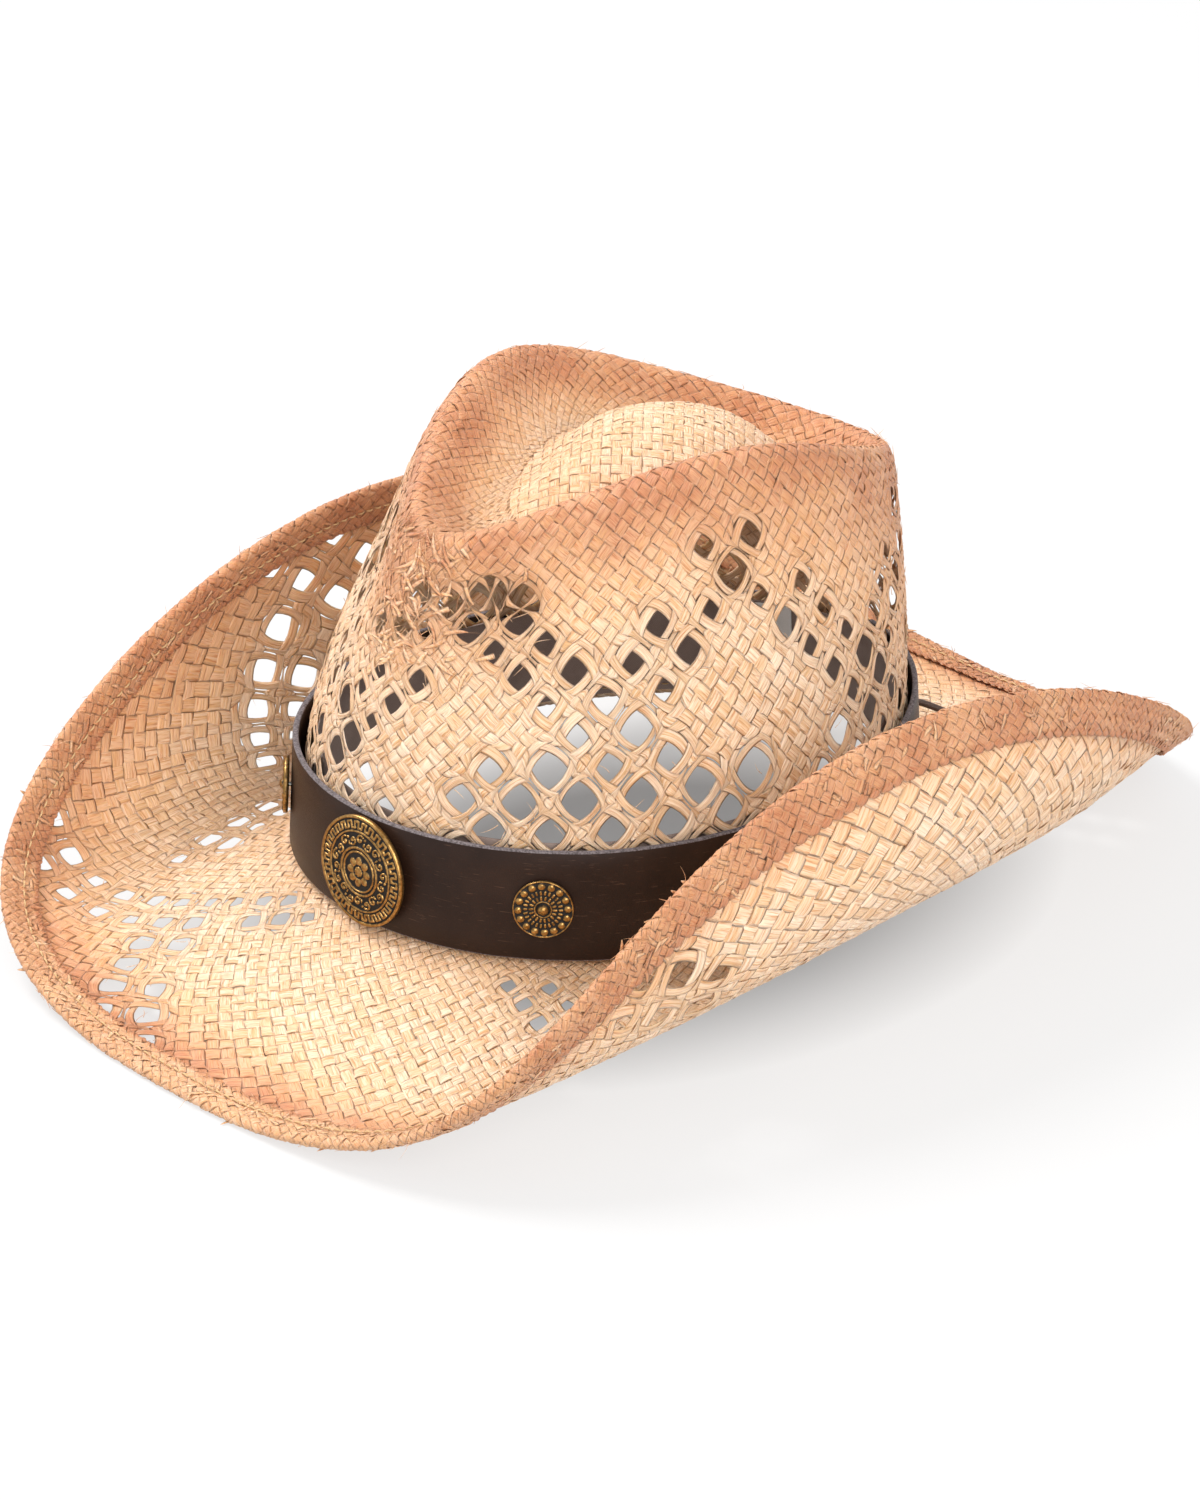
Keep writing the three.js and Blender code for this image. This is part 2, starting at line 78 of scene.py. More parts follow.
TAIL_KNOT = 2.6

UP = np.array([0.0, 0.0, 1.0])
rng = np.random.default_rng(11)


# ---------- reference surfaces ----------
def cosines(phi, coefficients):
    return sum(c * np.cos(i * phi) for i, c in enumerate(coefficients))


def stack(x, y, z):
    return np.stack(np.broadcast_arrays(x, y, z), axis=-1)


def oval(phi, offset=0.0, z=0.0):
    x = (HEAD_WIDTH + offset) * np.sin(phi) * (1 + HEAD_EGG * np.cos(phi))
    return stack(x, -(HEAD_LENGTH + offset) * np.cos(phi), z)


def unit(v):
    """The vectors, one millimetre long."""
    return v / np.linalg.norm(v, axis=-1, keepdims=True)


def outward(phi):
    return unit(stack(np.sin(phi) / HEAD_WIDTH, -np.cos(phi) / HEAD_LENGTH, 0.0))


def ridge(phi):
    return stack(np.sin(phi) * cosines(phi, RIDGE_X), -cosines(phi, RIDGE_Y), cosines(phi, RIDGE_Z))


def brim_edge(phi):
    z = cosines(phi, EDGE_Z)
    rest = (z + REST_HEIGHT + np.hypot(z - REST_HEIGHT, REST_SOFTNESS)) / 2
    return stack(np.sin(phi) * cosines(phi, EDGE_X), -cosines(phi, EDGE_Y), rest)


def slope_vector(phi, slopes):
    side, front, back = np.radians(slopes)
    s = np.sin(phi) ** 2
    w = (1 + np.cos(phi)) / 2
    angle = (side * s + (1 - s) * (front * w + back * (1 - w)))[..., None]
    return outward(phi) * np.cos(angle) + UP * np.sin(angle)


def brim_surface(phi, t):
    """Cubic curve from the head oval (t = 0) to the brim's edge (t = 1)."""
    pull = (BRIM_REACH + BRIM_BELLY * np.sin(phi) ** 2)[..., None]
    root = slope_vector(phi, ROOT_SLOPE) * BRIM_REACH
    tip = slope_vector(phi, EDGE_SLOPE) * pull
    t = t[..., None]
    start = oval(phi) * (2 * t**3 - 3 * t**2 + 1) + root * (t**3 - 2 * t**2 + t)
    return start + brim_edge(phi) * (3 * t**2 - 2 * t**3) + tip * (t**3 - t**2)


def crown_surface(phi, s):
    """B-spline up the side of the crown (s = 0), over the ridge, into the crease and up the dome (s = 1)."""
    out = outward(phi)
    top = ridge(phi)
    foot = oval(phi)
    shoulder = oval(phi, -1.2, 34)
    bulge = cosines(phi, CROWN_BULGE)[..., None]
    away = np.abs(np.arctan2(np.sin(phi), np.cos(phi)))
    dent = (away - math.radians(PINCH_AT)) / math.radians(PINCH_WIDTH)
    pinch = (PINCH_DEPTH * np.exp(-(dent**2)))[..., None]

    def inner(k, z):
        p = CROWN_CENTRE + (top - CROWN_CENTRE) * k
        return stack(p[..., 0], p[..., 1], z)

    between = (foot + shoulder) / 2
    lift = 2 * np.sin(phi) ** 2 - 11.5
    dome_ring = inner(0.13, DOME_TOP)
    apex = inner(0.0, DOME_TOP)
    controls = np.stack(
        [
            2 * foot - between,
            foot,
            between,
            shoulder,
            shoulder + (top - shoulder) * 0.33 + out * (bulge - 0.3 * pinch),
            shoulder + (top - shoulder) * 0.72 + out * (0.7 * bulge - pinch),
            top + UP * 8,
            inner(0.8, top[..., 2] + lift),
            inner(0.6, cosines(phi, VALLEY)),
            inner(0.4, cosines(phi, DOME)),
            dome_ring,
            apex,
            2 * apex - dome_ring,
        ]
    )
    spans = len(controls) - 3
    i = np.clip(np.floor(s * spans).astype(int), 0, spans - 1)
    u = s * spans - i
    weights = spline_weights(u)
    point = 0
    for k, weight in enumerate(weights):
        point = point + weight[..., None] * np.take_along_axis(controls, (i + k)[None, ..., None], axis=0)[0]
    return point


def spline_weights(u):
    return (
        (1 - u) ** 3 / 6,
        (3 * u**3 - 6 * u**2 + 4) / 6,
        (-3 * u**3 + 3 * u**2 + 3 * u + 1) / 6,
        u**3 / 6,
    )


def normal_of(surface, phi, t, flip):
    """The surface's upper or outer side. flip is for a surface whose rows run outward."""
    h = 1e-3
    t = np.minimum(t, 0.997)  # the crown's rows meet in one point at t = 1
    along_phi = surface(phi + h, t) - surface(phi - h, t)
    along_t = surface(phi, t + h) - surface(phi, np.maximum(t - h, 0))
    return unit(np.cross(along_phi, along_t)) * (-1 if flip else 1)


def hem_surface(phi, v):
    """The folded strip's middle: out along the upper leaf (v = 0), round the edge and back below."""
    depth = HEM_DEPTH - 0.65
    leaf_share = 0.4
    start = 0.9
    clear_of_floor = 0.9
    on_leaf = np.clip(np.minimum(v, 1 - v) / leaf_share, 0, 1)
    t = start + (1 - start) * on_leaf
    turn = np.clip((v - leaf_share) / (1 - 2 * leaf_share), 0, 1)
    angle = (np.pi / 2 - np.pi * turn)[..., None]
    base = brim_surface(phi, t)
    up = normal_of(brim_surface, phi, t, True)
    at = brim_edge(phi)
    out = unit(at - brim_surface(phi, np.full_like(t, 0.995)))
    p = base + out * depth * np.cos(angle) + up * depth * np.sin(angle)
    floor = HEM_DEPTH - HEM_PRESSED - depth - HAT_HEIGHT
    return stack(p[..., 0], p[..., 1], np.maximum(p[..., 2], floor + clear_of_floor))


rest_ends = brim_edge(np.array([0.0, np.pi]))
HAT_HEIGHT = HEM_DEPTH - rest_ends[:, 2].mean() - HEM_PRESSED
SHIFT = np.array([0.0, -rest_ends[:, 1].mean(), HAT_HEIGHT])


def place(points):
    """Hat millimetres to metres in the frame."""
    return (np.asarray(points) + SHIFT) * 0.001


# ---------- mesh helpers ----------
def around(count):
    """Evenly spaced angles over one turn."""
    return np.arange(count) / count * 2 * np.pi


def add_to_scene(name, data):
    obj = bpy.data.objects.new(name, data)
    bpy.context.scene.collection.objects.link(obj)
    return obj


def make_object(name, points, faces, materials, body, attributes=None):
    """Makes an object from points in the hat's millimetres and faces with the same number of corners."""
    verts = place(np.reshape(points, (-1, 3))).astype(np.float32)
    faces = np.asarray(faces, dtype=np.int32)
    corners = faces.shape[1]
    mesh = bpy.data.meshes.new(name)
    mesh.vertices.add(len(verts))
    mesh.vertices.foreach_set("co", verts.ravel())
    mesh.loops.add(faces.size)
    mesh.loops.foreach_set("vertex_index", faces.ravel())
    mesh.polygons.add(len(faces))
    mesh.polygons.foreach_set("loop_start", np.arange(len(faces), dtype=np.int32) * corners)
    mesh.update(calc_edges=True)
    mesh.polygons.foreach_set("use_smooth", np.ones(len(faces), bool))
    for key, values in (attributes or {}).items():
        values = np.asarray(values, dtype=np.float32)
        if values.ndim == 1:
            mesh.attributes.new(key, "FLOAT", "POINT").data.foreach_set("value", values)
        else:
            layer = mesh.attributes.new(key, "FLOAT_VECTOR", "POINT")
            layer.data.foreach_set("vector", values.ravel())
    mesh.validate()
    for material in materials:
        mesh.materials.append(material)
    obj = add_to_scene(name, mesh)
    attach(obj, body)
    return obj


def stands_for(node):
    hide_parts(node)


def wall_faces(loops, sides, closed=False):
    """Quads between neighbouring loops, and between the last and the first if closed."""
    count = loops if closed else loops - 1
    a = np.arange(count)[:, None]
    k = np.arange(sides)[None, :]
    b = (a + 1) % loops
    n = (k + 1) % sides
    quads = np.stack([a * sides + k, a * sides + n, b * sides + n, b * sides + k], axis=-1)
    return quads.reshape(-1, 4)


def tube_faces(loops, sides, count=1):
    """Quads of one or more alike tubes with an even number of sides and both ends closed."""
    caps = []
    last = (loops - 1) * sides
    for k in range(1, sides // 2):
        caps.append([k - 1, sides - k, sides - k - 1, k])
        caps.append([last + k - 1, last + k, last + sides - k - 1, last + sides - k])
    faces = np.concatenate([wall_faces(loops, sides), caps])
    return (faces + (np.arange(count) * loops * sides)[:, None, None]).reshape(-1, 4)


def quiet_noise(shape, smooth):
    """Random values between about -1 and 1, smoothed along the last axis."""
    raw = rng.standard_normal(shape[:-1] + (shape[-1] + 2 * smooth,))
    kernel = np.hanning(2 * smooth + 1)
    kernel /= np.sqrt((kernel**2).sum())
    smoothed = np.apply_along_axis(np.convolve, -1, raw, kernel, "valid")
    return smoothed[..., : shape[-1]] * 0.5


# ---------- weaving ----------
# A place in the weave is given in lattice numbers. i and j count the strands of its two families, which
# climb in opposite senses. (i + j) / 2 is how far round a place is, and (i - j) / 2 how far up.
STEPS_PER_CROSSING = 4
COLUMNS = np.array([-0.55, -0.32, 0.32, 0.55])  # across a strand, in strand pitches
STRAND_PITCH = 4.2  # mm, about
OVER_UNDER = 0.22  # mm each way
STRAND_HALF = 0.13  # half a strand's thickness, mm
EDGE_DROOP = 0.03  # mm
UNEVEN_LIFT, UNEVEN_TILT = 0.12, 0.4  # mm
HOLE_SPACING = 3  # strands from one hole of a row to the next
GRAIN_SPREAD = 613.0  # sets each strand's streaks far from its neighbours'


def sampled(surface, flip):
    turns, rows = 1440, 500
    phi = np.linspace(0, 2 * np.pi, turns + 1)
    t = np.linspace(0, 1, rows + 1)
    table = np.empty((turns + 1, rows + 1, 6))
    for block in np.array_split(np.arange(turns + 1), 24):
        f, v = np.meshgrid(phi[block], t, indexing="ij")
        table[block, :, :3] = surface(f, v)
        table[block, :, 3:] = normal_of(surface, f, v, flip)

    def look_up(angle, v):
        x = (angle / (2 * np.pi) % 1.0) * turns
        y = np.clip(v, 0, 1) * rows
        i = np.minimum(x.astype(int), turns - 1)
        j = np.minimum(y.astype(int), rows - 1)
        fx, fy = (x - i)[..., None], (y - j)[..., None]
        low = table[i, j] * (1 - fx) + table[i + 1, j] * fx
        high = table[i, j + 1] * (1 - fx) + table[i + 1, j + 1] * fx
        value = low * (1 - fy) + high * fy
        return value[..., :3], unit(value[..., 3:])

    return look_up


def square_lattice(surface, count):
    """How far up a surface each strand pitch is, so that crossings stay about square."""
    t = np.linspace(0, 1, 401)
    phi = np.radians(np.arange(0, 360, 10.0))[:, None] + 0 * t
    grid = surface(phi, t + 0 * phi)
    lengths = np.linalg.norm(np.diff(grid, axis=1), axis=2).mean(axis=0)
    h = 1e-3
    turned = surface(phi + h, t + 0 * phi) - surface(phi - h, t + 0 * phi)
    rounds = (np.linalg.norm(turned, axis=2) / (2 * h)).mean(axis=0)
    middle = np.maximum((rounds[1:] + rounds[:-1]) / 2, 1e-6)
    return t, np.concatenate([[0], np.cumsum(lengths / middle)]) * count / (2 * np.pi)


def hole_field(first, second, strand, holes, count):
    """Moves ribbon points away from each hole, and squeezes the ribbons beside it.

    first runs across the strands and second along them.
    """
    push_first = np.zeros_like(first)
    push_second = np.zeros_like(second)
    squeeze = np.zeros_like(first[..., :1])
    wide, tight = 1.5, 1.2  # how far a hole pushes, in strand pitches
    lines_each_side = 4
    squeeze_by, most_squeeze = 0.14, 0.16
    along_strand = second[0, :, 0] - strand[0]  # the same for every strand
    for centre, other, radius in holes:
        for k in range(-lines_each_side, lines_each_side):
            line = int(round(centre + k + 0.5))
            row = line % count
            relative = along_strand + line - other
            near = np.flatnonzero(np.abs(relative) < 3)
            if not len(near):
                continue
            side = 1.0 if line > centre else -1.0
            across = np.maximum((first[row, near] - strand[row] + line - centre) * side, 0)
            along = relative[near][:, None]
            bow = np.exp(-((across / wide) ** 2) - (along / tight) ** 2)
            push_first[row, near] += side * radius * bow
            slide = np.exp(-((across / tight) ** 2) - (along / wide) ** 2)
            push_second[row, near] += np.clip(1.1 * along, -1, 1) * radius * slide
            beside = (line - centre) / 1.3
            squeeze[row, near] += squeeze_by * radius * np.exp(-(beside**2) - (along / tight) ** 2)
    middle = first.mean(axis=-1, keepdims=True)
    narrow = middle + (first - middle) * (1 - np.minimum(squeeze, most_squeeze))
    return narrow + push_first, second + push_second


def ribbon_mesh(name, place_on, across, along, family, phase, strand_tone, spray_of, look, depth=0.0):
    """One object of flat closed strands. across and along are lattice numbers of each ribbon's columns."""
    material, slot = look
    i, j = (across, along) if family == "i" else (along, across)
    points, normals, phi, v = place_on(i, j)
    lift = OVER_UNDER * phase[..., None] + quiet_noise(phase.shape, 3)[..., None] * UNEVEN_LIFT
    tilt = quiet_noise(phase.shape, 5)[..., None] * COLUMNS * UNEVEN_TILT
    height = lift + tilt + depth
    thick = np.array([-EDGE_DROOP, STRAND_HALF, STRAND_HALF, -EDGE_DROOP])
    top = points + normals * (height + thick)[..., None]
    bottom = (points + normals * (height - STRAND_HALF)[..., None])[..., 2:0:-1, :]
    verts = np.concatenate([top, bottom], axis=2)
    strands, loops, sides = verts.shape[:3]

    def wrapped(value):
        """A value at the four columns on top, then at the two of the underside."""
        value = np.broadcast_to(value, phi.shape)
        return np.concatenate([value, value[..., 2:0:-1]], axis=2).reshape(-1)

    length = np.arange(loops)[:, None] * STRAND_PITCH / STEPS_PER_CROSSING
    grain = (strand_tone * GRAIN_SPREAD)[:, None, None]
    attributes = {
        "spray": wrapped(spray_of(phi, v)),
        "dip": wrapped((0.5 - 0.5 * phase)[..., None]),
        "edge": wrapped(np.abs(COLUMNS) / COLUMNS[-1]),
        "tone": wrapped(strand_tone[:, None, None]),
        "fibre": np.stack([wrapped(value) for value in (length, COLUMNS * STRAND_PITCH, grain)], axis=-1),
    }
    ribbons = make_object(name, verts, tube_faces(loops, sides, strands), [material], "hat", attributes)
    return ribbons


def flat_wave(x):
    """A rounded square wave: strands lie flat where they cross and dip quickly between."""
    squareness = 1.7
    return np.tanh(squareness * np.cos(np.pi * x)) / math.tanh(squareness)


def weave_round(name, node, surface, look_up, spray_of, look, count, low, top, holes, pieces, wobble):
    """Diagonal strands of both families round the head, from lattice row low to the surface's row top."""
    t_table, b_table = square_lattice(surface, count)
    high = float(np.interp(top, t_table, b_table))
    steps = int(round((high - low) * 2 * STEPS_PER_CROSSING))
    b = low + np.arange(steps + 1) / (2 * STEPS_PER_CROSSING)
    numbers = np.arange(count)

    def place_on(i, j):
        phi = np.pi * (i + j) / count
        t = np.interp((i - j) / 2, b_table, t_table)
        points, normals = look_up(phi, t)
        return points, normals, phi, t

    for family in ("i", "j"):
        sign = -1 if family == "i" else 1
        along = (numbers[:, None] + sign * 2 * b)[..., None] + 0 * COLUMNS
        widths = 1.0 + quiet_noise((count, steps + 1), 6)[..., None] * 0.12
        sway = quiet_noise((count, steps + 1), 9)[..., None] * wobble
        across = numbers[:, None, None] + COLUMNS * widths + sway
        phase = flat_wave(along[..., 0] - numbers[:, None]) * (1 if family == "i" else -1)
        ordered = holes if family == "i" else [(j, i, r) for i, j, r in holes]
        across, along = hole_field(across, along, numbers, ordered, count)
        tones = rng.random(count)
        for n, rows in enumerate(np.array_split(numbers, pieces), start=1):
            piece_name = f"{name}_{family}{n}"
            place_in = (across[rows], along[rows], family, phase[rows], tones[rows])
            ribbon_mesh(piece_name, place_on, *place_in, spray_of, look)
    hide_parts(node)


def lattice_holes(count, radius_at, offset, low, high):
    """Holes, as i, j and radius, where radius_at says so, between the rows low and high."""
    missing, stray, sizes = 0.05, 0.24, (0.68, 1.2)
    result = []
    for i in np.arange(1.5, count, HOLE_SPACING):
        start = math.ceil((i - 2 * high - offset) / HOLE_SPACING) * HOLE_SPACING + offset
        for j in np.arange(start, i - 2 * low, HOLE_SPACING):
            radius = radius_at(i, j)
            if radius > 0 and rng.random() > missing:
                off_i, off_j = rng.uniform(-stray, stray, 2)
                result.append((i + off_i, j + off_j, radius * rng.uniform(*sizes)))
    return result


CROWN_COUNT = 96  # strands of each family
CROWN_I_BANDS = (6, 24, 39, 57, 72, 87)  # middles of the diagonal rows of holes
CROWN_J_BANDS = (2, 20, 35, 50, 68, 83)
CROWN_HOLES_FROM, CROWN_HOLES_TO = 2.5, 19.5
CROWN_NETS = (13, 45, 77)  # open netting low on the crown, round the head
NET_TOP, NET_HALF_WIDTH = 10.8, 8.5


def near(x, centres, reach):
    """Whether x is close to one of the centres, going round the crown."""
    half = CROWN_COUNT / 2
    return any(abs((x - centre + half) % CROWN_COUNT - half) < reach for centre in centres)


def crown_hole(i, j):
    """The radius of the crown's hole at a crossing, in strand pitches, or 0."""
    if (i - j) / 2 < NET_TOP and near((i + j) / 2, CROWN_NETS, NET_HALF_WIDTH):
        return 1.0
    on_i = near(i, CROWN_I_BANDS, 2)
    on_j = near(j, CROWN_J_BANDS, 2)
    if not (on_i or on_j):
        return 0
    return 0.9 if on_i and on_j else 0.74


# Torn holes at the pinch: i, j and radius.
PINCH_TEARS = [(17.5, -16.5, 1.0), (20.5, -17.5, 1.1), (24.5, -12.5, 0.9), (26.5, -9.5, 0.8)]
PINCH_TEARS += [(14.5, -18.5, 0.9)]

BRIM_COUNT = 156
BRIM_HOLES_FROM, BRIM_HOLES_TO = 1.9, 17.2
# Rows of holes: family, middle of the two rows, and where they start and end along the other family.
BRIM_ROWS = (
    ("i", 153, 114, 156),
    ("j", 135, 154, 173),
    ("j", 129, 134, 146),
    ("i", 132, 97, 120),
    ("j", 102, 109, 141),
    ("j", 12, 10, 24),
    ("i", 42, 8, 17),
    ("i", 75, 47, 78),
    ("j", 60, 61, 91),
    ("i", 105, 73, 104),
    ("j", 81, 86, 109),
)


def brim_hole(i, j):
    """The radius of the brim's hole at a crossing, in strand pitches, or 0."""
    for family, middle, start, end in BRIM_ROWS:
        across, along = (i, j) if family == "i" else (j, i)
        for turn in (-BRIM_COUNT, 0, BRIM_COUNT):
            if abs(across + turn - middle) < 2 and start <= along + turn <= end:
                return 0.76
    return 0


# ---------- brown spray on the straw ----------
# Each function gives 0 for bare straw and about 1 for full brown.
def ramp(x, low, high):
    """Rises smoothly from 0 at low to 1 at high."""
    u = np.clip((x - low) / (high - low), 0, 1)
    return u * u * (3 - 2 * u)


def bump_at(phi, degrees, width):
    off = phi - math.radians(degrees)
    away = np.abs(np.arctan2(np.sin(off), np.cos(off)))
    return np.exp(-((away / math.radians(width)) ** 2))


RIDGE_S = 0.5  # the crown_surface rows of the ridge and of the crease inside it
CREASE_S = 0.7


def crown_spray(phi, s):
    front = bump_at(phi, 0, 38)
    back = bump_at(phi, 172, 60)
    start = 0.35 - 0.08 * front - 0.3 * back
    outer = ramp(s, start, RIDGE_S - 0.02)
    inner = 1 - 0.85 * ramp(s, RIDGE_S + 0.06, CREASE_S)
    left = 0.3 * bump_at(phi, -52, 24) * (1 - ramp(s, 0.2, 0.4))
    tip = 0.12 * front * ramp(s, 0.33, 0.42) * (1 - ramp(s, 0.55, 0.64))
    dome_margin = 0.2 * bump_at(phi, 0, 50) * ramp(s, 0.62, 0.7)
    around_ridge = np.where(s < RIDGE_S, outer, inner) * (0.94 - 0.14 * front)
    return np.clip(around_ridge + left + tip + dome_margin, 0, 1.3)


def brim_spray(phi, t):
    left = bump_at(phi, -90, 50)
    right = bump_at(phi, 90, 55)
    front = bump_at(phi, 0, 40)
    start = 0.6 - 0.28 * left + 0.17 * right - 0.14 * front
    rim = ramp(t, start, 1.01) * (0.98 - 0.36 * left + 0.22 * front)
    foot = 0.2 * (1 - ramp(t, 0.05, 0.25))
    return np.clip(rim + foot + 0.1 * left, 0, 1.2)


def hem_spray(phi, v):
    front = bump_at(phi, 8, 30)
    groove = 0.35 * (1 - ramp(np.minimum(v, 1 - v), 0.02, 0.1))
    return np.clip(0.9 - 0.32 * front + groove, 0, 1.2)


# ---------- materials ----------
class Nodes:
    """A short way to build one material's nodes."""

    def __init__(self, name, roughness, metallic=0.0):
        self.material = bpy.data.materials.new(name)
        self.material.use_nodes = True
        self.tree = self.material.node_tree
        self.shader = self.tree.nodes["Principled BSDF"]
        self.shader.inputs["Roughness"].default_value = roughness
        self.shader.inputs["Metallic"].default_value = metallic

    def add(self, kind, inputs=None, **settings):
        node = self.tree.nodes.new(kind)
        for key, value in settings.items():
            setattr(node, key, value)
        for key, value in (inputs or {}).items():
            self.feed(node.inputs[key], value)
        return node

    def feed(self, socket, value):
        if isinstance(value, bpy.types.NodeSocket):
            self.tree.links.new(value, socket)
        else:
            socket.default_value = value

    def attribute(self, name, output="Fac"):
        return self.add("ShaderNodeAttribute", attribute_name=name).outputs[output]

    def place(self):
        return self.add("ShaderNodeTexCoord").outputs["Object"]

    def stretch(self, vector, scale):
        node = self.add("ShaderNodeVectorMath", {0: vector, 1: scale}, operation="MULTIPLY")
        return node.outputs["Vector"]

    def noise(self, vector, scale, detail=3.0, rough=0.55):
        inputs = {"Vector": vector, "Scale": scale, "Detail": detail, "Roughness": rough}
        return self.add("ShaderNodeTexNoise", inputs).outputs["Fac"]

    def math(self, operation, a, b=0.0, clamp=False):
        node = self.add("ShaderNodeMath", {0: a, 1: b}, operation=operation, use_clamp=clamp)
        return node.outputs["Value"]

    def spread(self, value, low, high, to_low=0.0, to_high=1.0):
        inputs = {"Value": value, "From Min": low, "From Max": high, "To Min": to_low, "To Max": to_high}
        return self.add("ShaderNodeMapRange", inputs).outputs["Result"]

    def mix(self, factor, a, b, blend="MIX"):
        # The Mix node has one set of sockets per data type: 6, 7 and output 2 are the colour ones.
        inputs = {0: factor, 6: a, 7: b}
        return self.add("ShaderNodeMix", inputs, data_type="RGBA", blend_type=blend).outputs[2]

    def bump(self, height, distance, strength=1.0):
        inputs = {"Height": height, "Distance": distance, "Strength": strength}
        self.feed(self.shader.inputs["Normal"], self.add("ShaderNodeBump", inputs).outputs["Normal"])

    def colour(self, value):
        self.feed(self.shader.inputs["Base Color"], value)

    def roughness(self, value):
        self.feed(self.shader.inputs["Roughness"], value)


def rgb(*screen):
    """A screen colour, 0 to 255, as the linear colour that a shader takes."""
    linear = [c / 12.92 if c <= 0.04045 else ((c + 0.055) / 1.055) ** 2.4 for c in (v / 255 for v in screen)]
    return (*linear, 1.0)


def straw_material(name):
    """Straw strands. fibre is the place along and across a strand in mm, dip is 1 where it goes under."""
    n = Nodes(name, 0.55)
    fibre = n.attribute("fibre", "Vector")
    tone = n.attribute("tone")
    dip = n.attribute("dip")
    streak = n.noise(n.stretch(fibre, (0.09, 1.5, 1.0)), 1.0, 4.0, 0.6)
    hair = n.noise(n.stretch(fibre, (0.2, 3.6, 1.0)), 1.0, 2.0, 0.5)
    cream = n.mix(n.spread(streak, 0.4, 0.58), rgb(217, 169, 119), rgb(248, 216, 185))
    cream = n.mix(n.spread(tone, 0.55, 1.0, 0.0, 0.55), cream, rgb(234, 192, 148))
    cream = n.mix(n.spread(tone, 0.3, 0.0, 0.0, 0.5), cream, rgb(250, 226, 200))
    cloud = n.noise(n.place(), 55.0, 3.0)
    speck = n.math("ADD", n.math("MULTIPLY", cloud, 0.55), n.math("MULTIPLY", streak, 0.5))
    breakup = n.math("SUBTRACT", speck, 0.53)
    amount = n.attribute("spray")
    strength = n.math("MULTIPLY", n.math("MULTIPLY", amount, 1.5), breakup)
    spray = n.math("ADD", amount, strength, True)
    sheltered = n.math("MULTIPLY", spray, n.spread(dip, 0.3, 1.0, 1.0, 0.62))
    brown = n.mix(n.spread(spray, 0.4, 1.1), rgb(234, 167, 108), rgb(182, 110, 70))
    colour = n.mix(n.math("MULTIPLY", sheltered, 0.92), cream, brown)
    # Painted shade: each strand is darkened towards its edges where it dives under the crossing strand.
    at_edge = n.spread(n.attribute("edge"), 0.2, 1.0, 0.4, 1.0)
    painted_seam_shade = n.math("MULTIPLY", n.spread(dip, 0.5, 1.0, 0.0, 0.12), at_edge)
    colour = n.mix(painted_seam_shade, colour, rgb(206, 150, 106), "MULTIPLY")
    colour = n.mix(n.spread(hair, 0.52, 0.66, 0.0, 0.7), colour, rgb(214, 162, 112), "MULTIPLY")
    n.colour(colour)
    n.roughness(n.spread(streak, 0.2, 0.8, 0.38, 0.62))
    n.shader.inputs["Sheen Weight"].default_value = 0.08
    n.shader.inputs["Subsurface Weight"].default_value = 0.12
    n.shader.inputs["Subsurface Radius"].default_value = (1.0, 0.6, 0.3)
    n.shader.inputs["Subsurface Scale"].default_value = 0.0015
    height = n.math("ADD", n.math("MULTIPLY", streak, 0.7), n.math("MULTIPLY", hair, 0.3))
    n.bump(height, 0.001)
    return n.material


def leather_material():
    n = Nodes("dark_leather", 0.42)
    grain = n.noise(n.place(), 2600.0, 4.0, 0.65)
    cloud = n.noise(n.place(), 70.0, 3.0)
    scratch = n.noise(n.stretch(n.place(), (60.0, 60.0, 900.0)), 3.0, 2.0)
    marks = n.spread(scratch, 0.66, 0.72, 0.0, 0.35)
    colour = n.mix(n.spread(cloud, 0.3, 0.7), rgb(31, 17, 11), rgb(42, 26, 18))
    colour = n.mix(marks, colour, rgb(96, 70, 54))
    n.colour(colour)
    n.shader.inputs["Specular IOR Level"].default_value = 0.22
    n.roughness(n.spread(grain, 0.3, 0.7, 0.34, 0.5))
    n.bump(n.math("ADD", grain, n.math("MULTIPLY", marks, -0.6)), 0.00012, 0.6)
    return n.material


def leather_edge_material():
    n = Nodes("leather_raw_edge", 0.9)
    nap = n.noise(n.place(), 1500.0, 4.0, 0.7)
    n.colour(n.mix(n.spread(nap, 0.35, 0.7), rgb(52, 44, 44), rgb(138, 128, 130)))
    n.bump(nap, 0.0004, 0.8)
    return n.material


def brass_material():
    n = Nodes("antique_brass", 0.4, 1.0)
    relief = n.attribute("relief")
    wear = n.noise(n.place(), 900.0, 4.0, 0.6)
    worn = n.math("ADD", relief, n.spread(wear, 0.3, 0.7, -0.22, 0.22))
    bright = n.spread(worn, 0.3, 0.72)
    metal = n.mix(n.spread(wear, 0.35, 0.65), rgb(132, 98, 52), rgb(186, 146, 88))
    n.colour(n.mix(bright, rgb(26, 22, 18), metal))
    n.feed(n.shader.inputs["Metallic"], n.spread(bright, 0.0, 1.0, 0.35, 1.0))
    n.roughness(n.spread(bright, 0.0, 1.0, 0.62, 0.3))
    n.bump(wear, 0.0001, 0.5)
    return n.material


def steel_material():
    n = Nodes("plain_steel", 0.4, 1.0)
    marks = n.noise(n.place(), 700.0, 4.0, 0.6)
    n.colour(n.mix(n.spread(marks, 0.3, 0.7), rgb(120, 118, 112), rgb(176, 174, 168)))
    n.roughness(n.spread(marks, 0.3, 0.7, 0.3, 0.5))
    n.bump(marks, 0.00005, 0.4)
    return n.material


